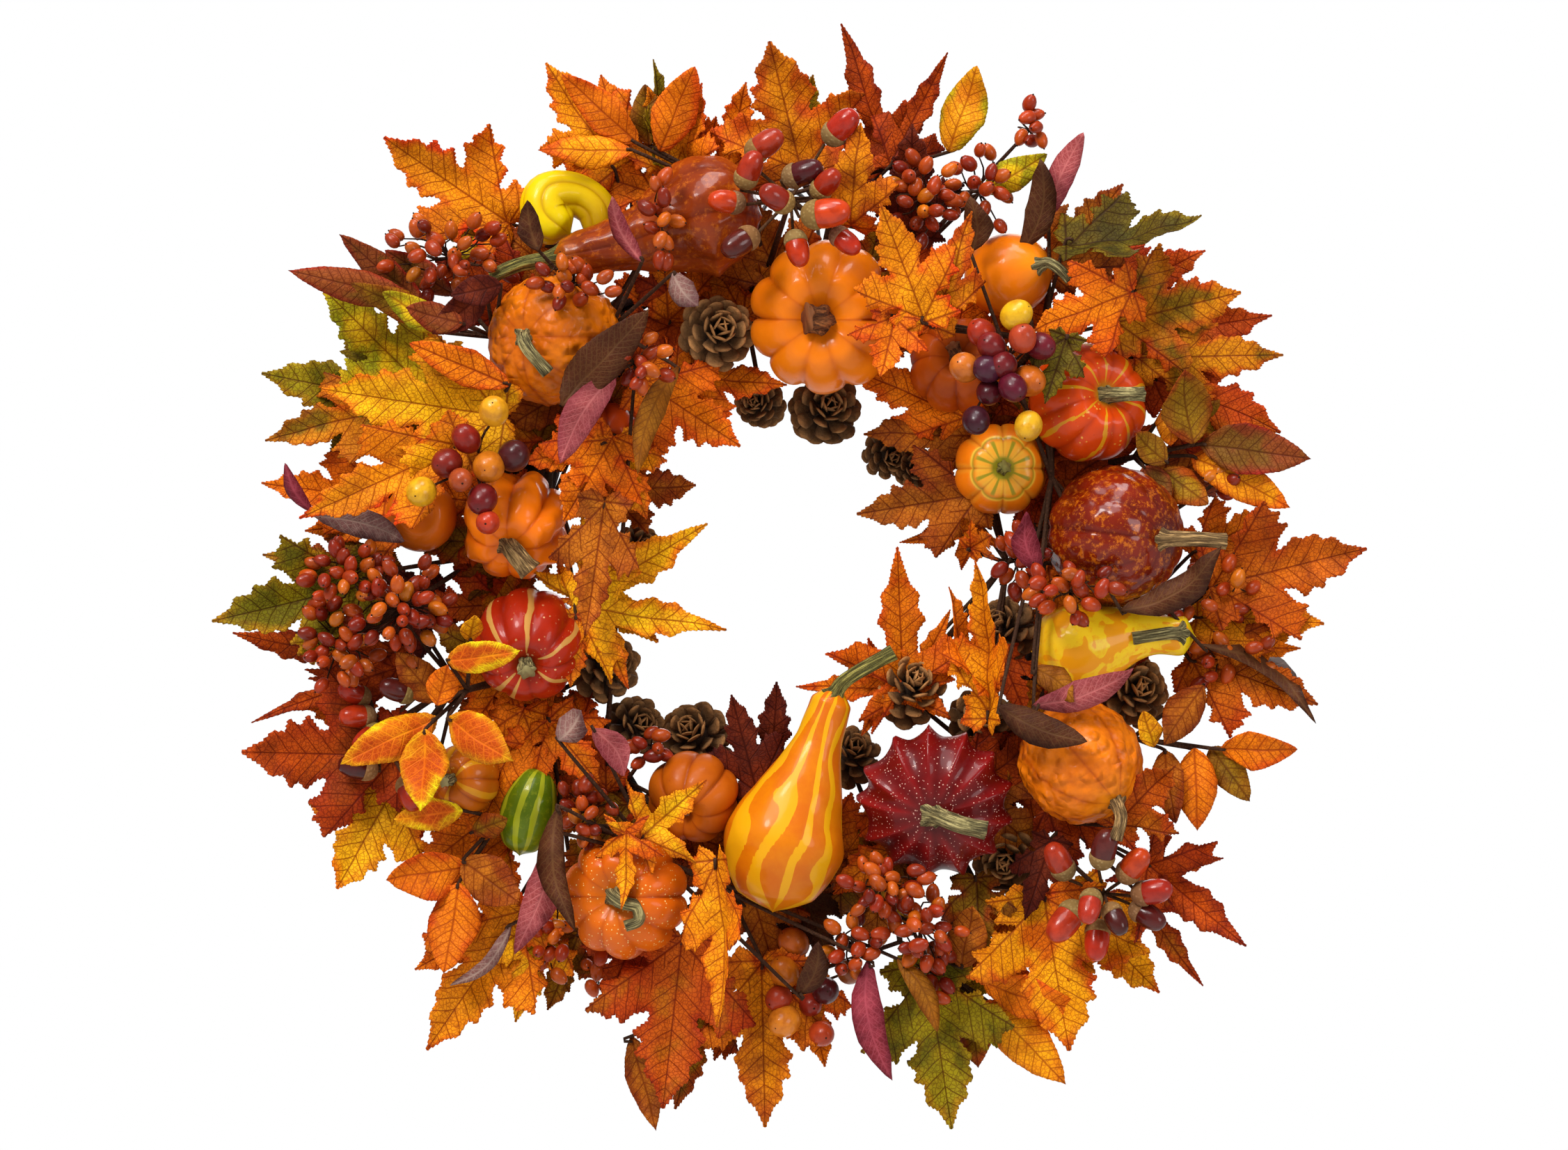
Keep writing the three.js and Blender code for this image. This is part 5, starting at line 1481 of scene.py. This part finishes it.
# Kind, palette, x and z of the base, x and z of the tip, width, y of the base, y of the tip, shape.
MAPLE_SPRAYS = {
    "maple_spray_top_left": (112, [
        ("maple", "amber_red", -148, 188, -216, 234, 74, -30, -48, CUPPED),
        ("maple", "amber", -92, 216, -129, 273, 62, -32, -44),
        ("maple", "orange", -84, 222, -100, 268, 50, -24, -34),
        ("maple", "green", -66, 222, -71, 276, 34, -28, -36, SIDEWAYS),
        ("maple", "orange", -58, 214, -45, 263, 44, -24, -40),
        ("maple", "yellow_green", -150, 176, -198, 190, 36, -26, -34),
        ("maple", "orange", -70, 204, -126, 226, 52, -32, -42),
        ("maple", "amber", -56, 210, -76, 262, 50, -30, -40),
        ("maple", "rust", -136, 146, -188, 168, 52, -32, -42),
        ("maple", "brown", -122, 160, -160, 190, 48, -26, -34)]),
    "maple_spray_top": (84, [
        ("maple", "mottled", 8, 214, -10, 285, 88, -30, -48, CUPPED),
        ("star", "rust", 54, 220, 28, 294, 64, -26, -42),
        ("star", "rust", 54, 218, 87, 282, 46, -38, -50, CURLED),
        ("maple", "mottled", 34, 186, 38, 238, 50, -62, -84),
        ("maple", "maroon", 66, 180, 66, 240, 58, -38, -52),
        ("maple", "orange", -34, 216, -22, 264, 40, -22, -34),
        ("maple", "green", 0, 222, 14, 268, 40, -24, -34)]),
    "maple_spray_top_right": (42, [
        ("maple", "dark_green", 146, 176, 217, 190, 58, -70, -84, {"fold": 0.3, "bend": 0.5, "roll": 0.9}),
        ("maple", "brown", 140, 160, 178, 208, 58, -44, -52),
        ("maple", "mix", 172, 134, 240, 150, 74, -54, -66, CUPPED),
        ("maple", "mix", 184, 116, 262, 117, 58, -48, -62),
        ("maple", "brick", 178, 124, 258, 139, 56, -32, -42),
        ("maple", "brick", 192, 106, 262, 76, 70, -44, -56),
        ("maple", "brick", 168, 148, 222, 173, 50, -36, -48),
        ("maple", "amber_red", 72, 132, 48, 193, 60, -90, -110, CUPPED),
        ("maple", "mottled", 76, 130, 96, 190, 40, -86, -100),
        ("maple", "orange", 56, 136, 48, 104, 44, -94, -104),
        ("maple", "dark_green", 146, 126, 134, 90, 32, -88, -96),
        ("maple", "orange", 182, 150, 128, 128, 56, -72, -90)]),
    "maple_spray_right": (-5, [
        # This leaf and the third below it use the orange palette darkened as painted shade.
        ("maple", "burnt", 224, -6, 308, 15, 78, -40, -52, CUPPED),
        ("maple", "amber", 218, -22, 286, -25, 64, -30, -40),
        ("maple", "burnt", 214, -44, 283, -68, 66, -34, -46),
        ("maple", "red_tip", 216, -40, 274, -38, 40, -26, -34),
        ("maple", "orange", 216, 12, 262, 34, 50, -28, -36),
        ("maple", "brown", 198, 50, 246, 72, 48, -26, -34)]),
    "maple_spray_lower_right": (-43, [
        ("star", "rust", 190, -152, 244, -197, 70, -40, -52, CUPPED),
        ("maple", "rust", 138, -124, 184, -142, 54, -34, -44),
        ("star", "rust", 190, -156, 232, -150, 44, -32, -44),
        ("maple", "red", 172, -132, 204, -98, 54, -60, -84, CUPPED),
        ("maple", "maroon", 140, -140, 126, -182, 36, -42, -52),
        ("star", "red", 186, -168, 222, -219, 46, -28, -38)]),
    "maple_spray_bottom_right": (-58, [
        ("maple", "speckled", 136, -168, 149, -252, 100, -44, -60, CUPPED),
        ("maple", "speckled", 150, -170, 198, -222, 66, -34, -46),
        ("maple", "green", 74, -206, 87, -294, 84, -38, -56, CUPPED),
        ("maple", "yellow_green", 84, -206, 112, -252, 50, -28, -36),
        ("maple", "orange", 116, -182, 124, -236, 48, -28, -36),
        ("maple", "olive", 100, -160, 104, -204, 46, -38, -46)]),
    "maple_spray_bottom": (-105, [
        ("maple", "red", -56, -190, -66, -282, 92, -50, -68, CUPPED),
        ("maple", "mottled", -14, -204, -12, -293, 76, -40, -56, CUPPED),
        ("maple", "amber", -38, -148, -36, -236, 44, -84, -96, SIDEWAYS),
        ("maple", "olive", -44, -216, -60, -284, 52, -34, -44),
        ("maple", "orange", 8, -210, 20, -262, 46, -28, -36),
        ("maple", "red_orange", -80, -190, -98, -228, 50, -32, -40),
        ("maple", "maroon", -16, -116, -30, -62, 44, -48, -60),
        ("maple", "maroon", -12, -122, -6, -55, 46, -44, -54),
        ("maple", "dark_brown", 8, -164, 22, -206, 50, -26, -32),
        ("maple", "brown", -20, -166, -6, -214, 56, -26, -34)]),
    "maple_spray_bottom_left": (-132, [
        ("maple", "amber_red", -140, -176, -192, -252, 76, -38, -54, CUPPED),
        ("maple", "yellow", -132, -180, -145, -238, 48, -30, -40),
        ("maple", "orange", -150, -182, -199, -210, 46, -28, -36),
        ("star", "yellow", -78, -138, -42, -106, 56, -78, -90, CUPPED),
        ("star", "amber", -84, -132, -86, -176, 40, -80, -88),
        ("maple", "orange", -140, -70, -168, -150, 66, -34, -42),
        ("maple", "orange", -128, -76, -100, -110, 54, -40, -52),
        ("maple", "olive", -112, -190, -128, -232, 40, -22, -32),
        ("maple", "orange", -146, -118, -198, -158, 66, -30, -40),
        ("maple", "amber", -150, -134, -186, -176, 60, -26, -36)]),
    "maple_spray_left": (-158, [
        ("maple", "red_orange", -206, -96, -290, -93, 92, -42, -58, CUPPED),
        ("maple", "yellow", -210, -112, -240, -167, 74, -34, -48, CUPPED),
        ("maple", "green", -222, -4, -305, -24, 72, -48, -62, CUPPED),
        ("maple", "rust", -200, -44, -298, -30, 44, -30, -44),
        ("star", "rust", -206, -48, -286, -78, 40, -32, -42),
        ("maple", "orange", -188, -100, -210, -150, 50, -24, -34),
        ("maple", "orange", -216, -84, -262, -62, 46, -28, -40),
        ("maple", "olive", -214, 0, -280, 12, 46, -28, -38),
        ("maple", "maroon", -184, -12, -232, -28, 60, -28, -36),
        ("maple", "olive", -148, -44, -190, -26, 50, -32, -42),
        ("maple", "orange", -150, -56, -196, -62, 46, -28, -36)]),
    "maple_spray_upper_left": (152, [
        ("maple", "yellow_green", -190, 96, -248, 154, 66, -38, -50, CUPPED),
        ("maple", "green", -196, 92, -281, 108, 70, -30, -42),
        ("maple", "yellow", -148, 84, -244, 98, 82, -70, -88, CUPPED),
        ("maple", "amber_red", -170, 70, -256, 30, 62, -78, -90, CUPPED),
        ("maple", "mix", -206, 92, -278, 73, 54, -34, -44),
        ("maple", "orange", -214, 42, -281, 50, 50, -28, -38),
        ("maple", "orange", -196, 34, -258, 24, 52, -26, -36),
        ("oval", "orange", -146, 100, -198, 122, 19, -82, -92)]),
    "maple_spray_inner_left": (168, [
        ("maple", "orange", -92, 74, -118, 28, 66, -62, -84, CUPPED),
        ("maple", "orange", -96, 70, -139, 60, 44, -64, -76),
        ("maple", "amber", -92, 72, -74, 30, 46, -56, -66),
        ("maple", "orange", -78, 104, -24, 68, 64, -48, -58, CUPPED),
        ("maple", "orange", -60, 108, 0, 102, 48, -42, -50),
        ("maple", "brown", -98, 46, -48, 48, 50, -40, -50),
        ("maple", "brown", -96, 40, -106, -32, 48, -80, -92, CUPPED),
        ("star", "yellow", -112, -14, -42, 28, 78, -52, -64, CUPPED),
        ("star", "yellow", -114, -16, -32, -28, 72, -60, -70),
        ("star", "amber", -104, -14, -84, -60, 52, -56, -66),
        ("maple", "mottled", -112, -20, -114, -58, 40, -64, -72)]),
    "maple_spray_inner_right": (14, [
        ("maple", "orange", 96, 84, 32, 111, 56, -36, -46),
        ("maple", "brown", 104, 74, 40, 76, 56, -34, -44),
        ("maple", "brown", 104, 44, 37, 33, 62, -44, -54, CUPPED),
        ("star", "orange", 104, 26, 60, 18, 40, -38, -46),
        ("star", "orange", 62, -64, 58, 18, 80, -34, -50, CUPPED),
        ("star", "orange", 64, -58, 4, -58, 50, -32, -42),
        ("star", "orange", 66, -60, 86, -18, 40, -32, -44),
        ("star", "orange", 60, -54, 38, -86, 40, -30, -38),
        ("maple", "amber", 106, -76, 99, 10, 38, -62, -78, FOLDED),
        ("maple", "orange", 104, -60, 84, -5, 34, -60, -70, SIDEWAYS),
        ("maple", "orange", 96, 14, 108, 22, 26, -50, -70, CURLED),
        ("maple", "red_orange", 112, -40, 126, -72, 36, -48, -60)]),
}
OVAL_SPRAYS = {
    "oval_spray_upper_left": (140, [
        ("oval", "wine_green", -198, 146, -263, 161, 18, -60, -72),
        ("oval", "wine_green", -194, 144, -237, 181, 16, -52, -62),
        ("oval", "olive", -184, 132, -229, 153, 16, -74, -84),
        ("oval", "yellow_green", -182, 128, -212, 148, 15, -82, -90),
        ("oval", "wine_green", -170, 132, -200, 140, 16, -88, -96),
        ("oval", "maroon", -158, 148, -186, 126, 18, -84, -92),
        ("oval", "maroon", -150, 152, -176, 146, 16, -88, -96),
        ("oval", "wine_green", -176, 150, -214, 172, 16, -46, -54)]),
    "oval_spray_right": (20, [
        ("oval", "olive", 214, 70, 209, 110, 28, -58, -70),
        ("oval", "wine_green", 218, 70, 276, 62, 26, -56, -66),
        ("oval", "amber", 214, 64, 266, 36, 22, -50, -58),
        ("oval", "olive", 198, 56, 222, 38, 20, -58, -66),
        ("oval", "wine_green", 188, 58, 200, 36, 18, -62, -70),
        ("oval", "olive", 200, 60, 183, 76, 16, -66, -76),
        ("oval", "amber", 204, 94, 203, 68, 18, -48, -58),
        ("oval", "olive", 206, 78, 246, 92, 20, -38, -48)]),
    "oval_spray_lower_right": (-32, [
        ("oval", "brown", 200, -92, 206, -131, 18, -46, -56),
        ("oval", "orange", 216, -92, 217, -135, 22, -44, -54),
        ("oval", "orange", 230, -92, 270, -92, 20, -44, -54),
        ("oval", "yellow", 194, -90, 189, -72, 13, -52, -60),
        ("oval", "brown", 220, -58, 199, -89, 20, -50, -62),
        ("oval", "olive", 226, -92, 246, -120, 18, -34, -42)]),
    "oval_spray_lower_left": (-160, [
        ("oval", "gold_edge", -184, -74, -234, -98, 22, -76, -88),
        ("oval", "gold_edge", -190, -80, -192, -122, 25, -84, -96),
        ("oval", "gold_edge", -178, -74, -142, -96, 24, -88, -100),
        ("oval", "orange", -184, -68, -177, -44, 16, -80, -90, CURLED),
        ("oval", "gold_edge", -178, -44, -139, -38, 18, -90, -100),
        ("oval", "yellow", -166, -34, -164, -18, 12, -88, -94),
        ("oval", "brown", -184, -66, -206, -40, 20, -66, -74)]),
    "oval_spray_bottom_left": (-140, [
        ("oval", "gold_edge", -172, -124, -208, -128, 17, -56, -64),
        ("oval", "orange", -170, -154, -212, -160, 25, -58, -68),
        ("oval", "brown", -172, -150, -140, -173, 25, -60, -70),
        ("oval", "orange", -174, -162, -181, -210, 27, -60, -72),
        ("oval", "olive", -168, -136, -148, -128, 14, -52, -60)]),
    "oval_spray_bottom": (-70, [
        ("oval", "amber", 106, -226, 147, -270, 26, -38, -48),
        ("oval", "orange", 104, -216, 158, -231, 22, -42, -52),
        ("oval", "brown", 92, -208, 98, -174, 22, -46, -54),
        ("oval", "olive", 96, -222, 102, -262, 22, -30, -38),
        ("oval", "brown", -84, -246, -70, -296, 17, -28, -36)]),
    "oval_spray_top": (95, [
        ("oval", "orange", -80, 230, -120, 266, 20, -46, -54),
        ("oval", "amber", -82, 226, -132, 226, 17, -50, -58),
        ("oval", "orange", -68, 226, -49, 271, 24, -44, -52),
        ("oval", "lemon", 86, 226, 101, 271, 25, -40, -50),
        ("oval", "yellow_green", 104, 204, 137, 223, 17, -56, -66),
        ("oval", "olive", -74, 230, -76, 262, 18, -36, -42)]),
}
NARROW_SPRAYS = {
    "narrow_spray_left": (128, [
        ("narrow", "magenta", -90, 106, -118, 58, 19, -96, -112),
        ("oval", "dark_brown", -118, 90, -72, 139, 24, -94, -108),
        ("narrow", "bronze", -58, 110, -79, 53, 14, -70, -84),
        ("narrow", "magenta", -76, 164, -92, 199, 10, -96, -104),
        ("narrow", "mauve", -60, 158, -46, 140, 14, -96, -106, CURLED),
        ("narrow", "dark_brown", -130, 170, -136, 196, 12, -88, -96)]),
    "narrow_spray_right": (30, [
        ("narrow", "magenta", 138, 190, 156, 234, 15, -60, -70),
        ("narrow", "dark_brown", 124, 172, 132, 220, 17, -64, -74),
        ("narrow", "dark_brown", 96, 170, 96, 199, 16, -78, -86),
        ("narrow", "dark_brown", 174, -18, 226, 16, 16, -90, -98),
        ("narrow", "plum", 132, 2, 124, 34, 15, -86, -96),
        ("narrow", "magenta", 128, -68, 180, -47, 16, -92, -100),
        ("narrow", "dark_brown", 110, -68, 156, -86, 18, -94, -102),
        ("narrow", "bronze", 128, -48, 150, -66, 15, -86, -96, CURLED),
        ("narrow", "dark_brown", 218, -36, 279, -78, 8, -58, -66)]),
    "narrow_spray_lower_left": (-120, [
        ("narrow", "magenta", -122, -134, -143, -197, 18, -82, -92),
        ("narrow", "dark_brown", -120, -120, -111, -185, 14, -86, -94),
        ("narrow", "magenta", -102, -80, -84, -106, 16, -84, -92, CURLED),
        ("narrow", "mauve", -146, -184, -178, -216, 8, -58, -66),
        ("narrow", "mauve", -120, -86, -108, -70, 16, -86, -94, CURLED),
        ("narrow", "plum", 42, -202, 55, -265, 17, -66, -78),
        ("narrow", "dark_brown", 6, -222, 16, -192, 15, -60, -70),
        ("narrow", "bronze", 58, -202, 79, -240, 13, -62, -70)]),
    "narrow_spray_far_left": (178, [
        ("narrow", "plum", -252, 34, -266, 60, 8, -54, -60),
        ("narrow", "mauve", -250, 32, -200, 18, 16, -60, -72)]),
}


FILLER_PALETTES = ["orange", "brown", "mix", "olive", "rust", "orange", "brick", "brown"]


FILLER_COUNT = 60


def filler_leaves(rng):
    """Leaves close to the ring, behind the fruit: some point outwards and some lie along the ring."""
    leaves = []
    for index in range(FILLER_COUNT):
        angle = math.radians(index * 360 / FILLER_COUNT + rng.uniform(-3, 3))
        outwards = index % 2
        inner, outer = (rng.uniform(136, 150), rng.uniform(196, 212)) if outwards else (150,
                                                                                        rng.uniform(150,
                                                                                                    172))
        turn = rng.uniform(-0.15, 0.15) if outwards else rng.choice((-1, 1)) * rng.uniform(0.3, 0.4)
        leaves.append(("maple", rng.choice(FILLER_PALETTES), inner * math.cos(angle),
                       inner * math.sin(angle),
                       outer * math.cos(angle + turn), outer * math.sin(angle + turn),
                       rng.uniform(48, 66), -23 - rng.uniform(0, 4), -30 - rng.uniform(0, 6)))
    return leaves


def make_leaves():
    rng = random.Random(5)
    leaves = filler_leaves(rng)
    in_quarter = FILLER_COUNT // 4
    for quarter in range(4):
        make_leaf_spray(f"filler_leaves_{quarter + 1}", 45 + quarter * 90,
                        leaves[quarter * in_quarter:][:in_quarter], MAPLE, TWIG,
                        seed=60 + quarter)
    makers = ((MAPLE_SPRAYS, MAPLE, "maple_leaf"), (OVAL_SPRAYS, OVAL, "oval_leaf"),
              (NARROW_SPRAYS, NARROW, "narrow_leaf"))
    for seed, (sprays, material, slot_name) in enumerate(makers):
        for index, (name, (ring, leaves)) in enumerate(sprays.items()):
            replaced = [name] if name in CAD_SPRAYS else []
            make_leaf_spray(f"{name}_leaves", ring, leaves, material, TWIG, replaced, slot_name,
                            seed=seed * 17 + index + 1)


CAD_SPRAYS = {*MAPLE_SPRAYS, "oval_spray_upper_left", "oval_spray_right", "oval_spray_lower_right",
              "oval_spray_lower_left", "narrow_spray_left"}


# ---- the wreath ----------------------------------------------------------------------------------------


for strand in range(3):
    make_strand(strand, BARK)
make_tie(WIRE)
make_loop(WIRE)
make_fruits()
make_cones()
make_berries()
make_leaves()
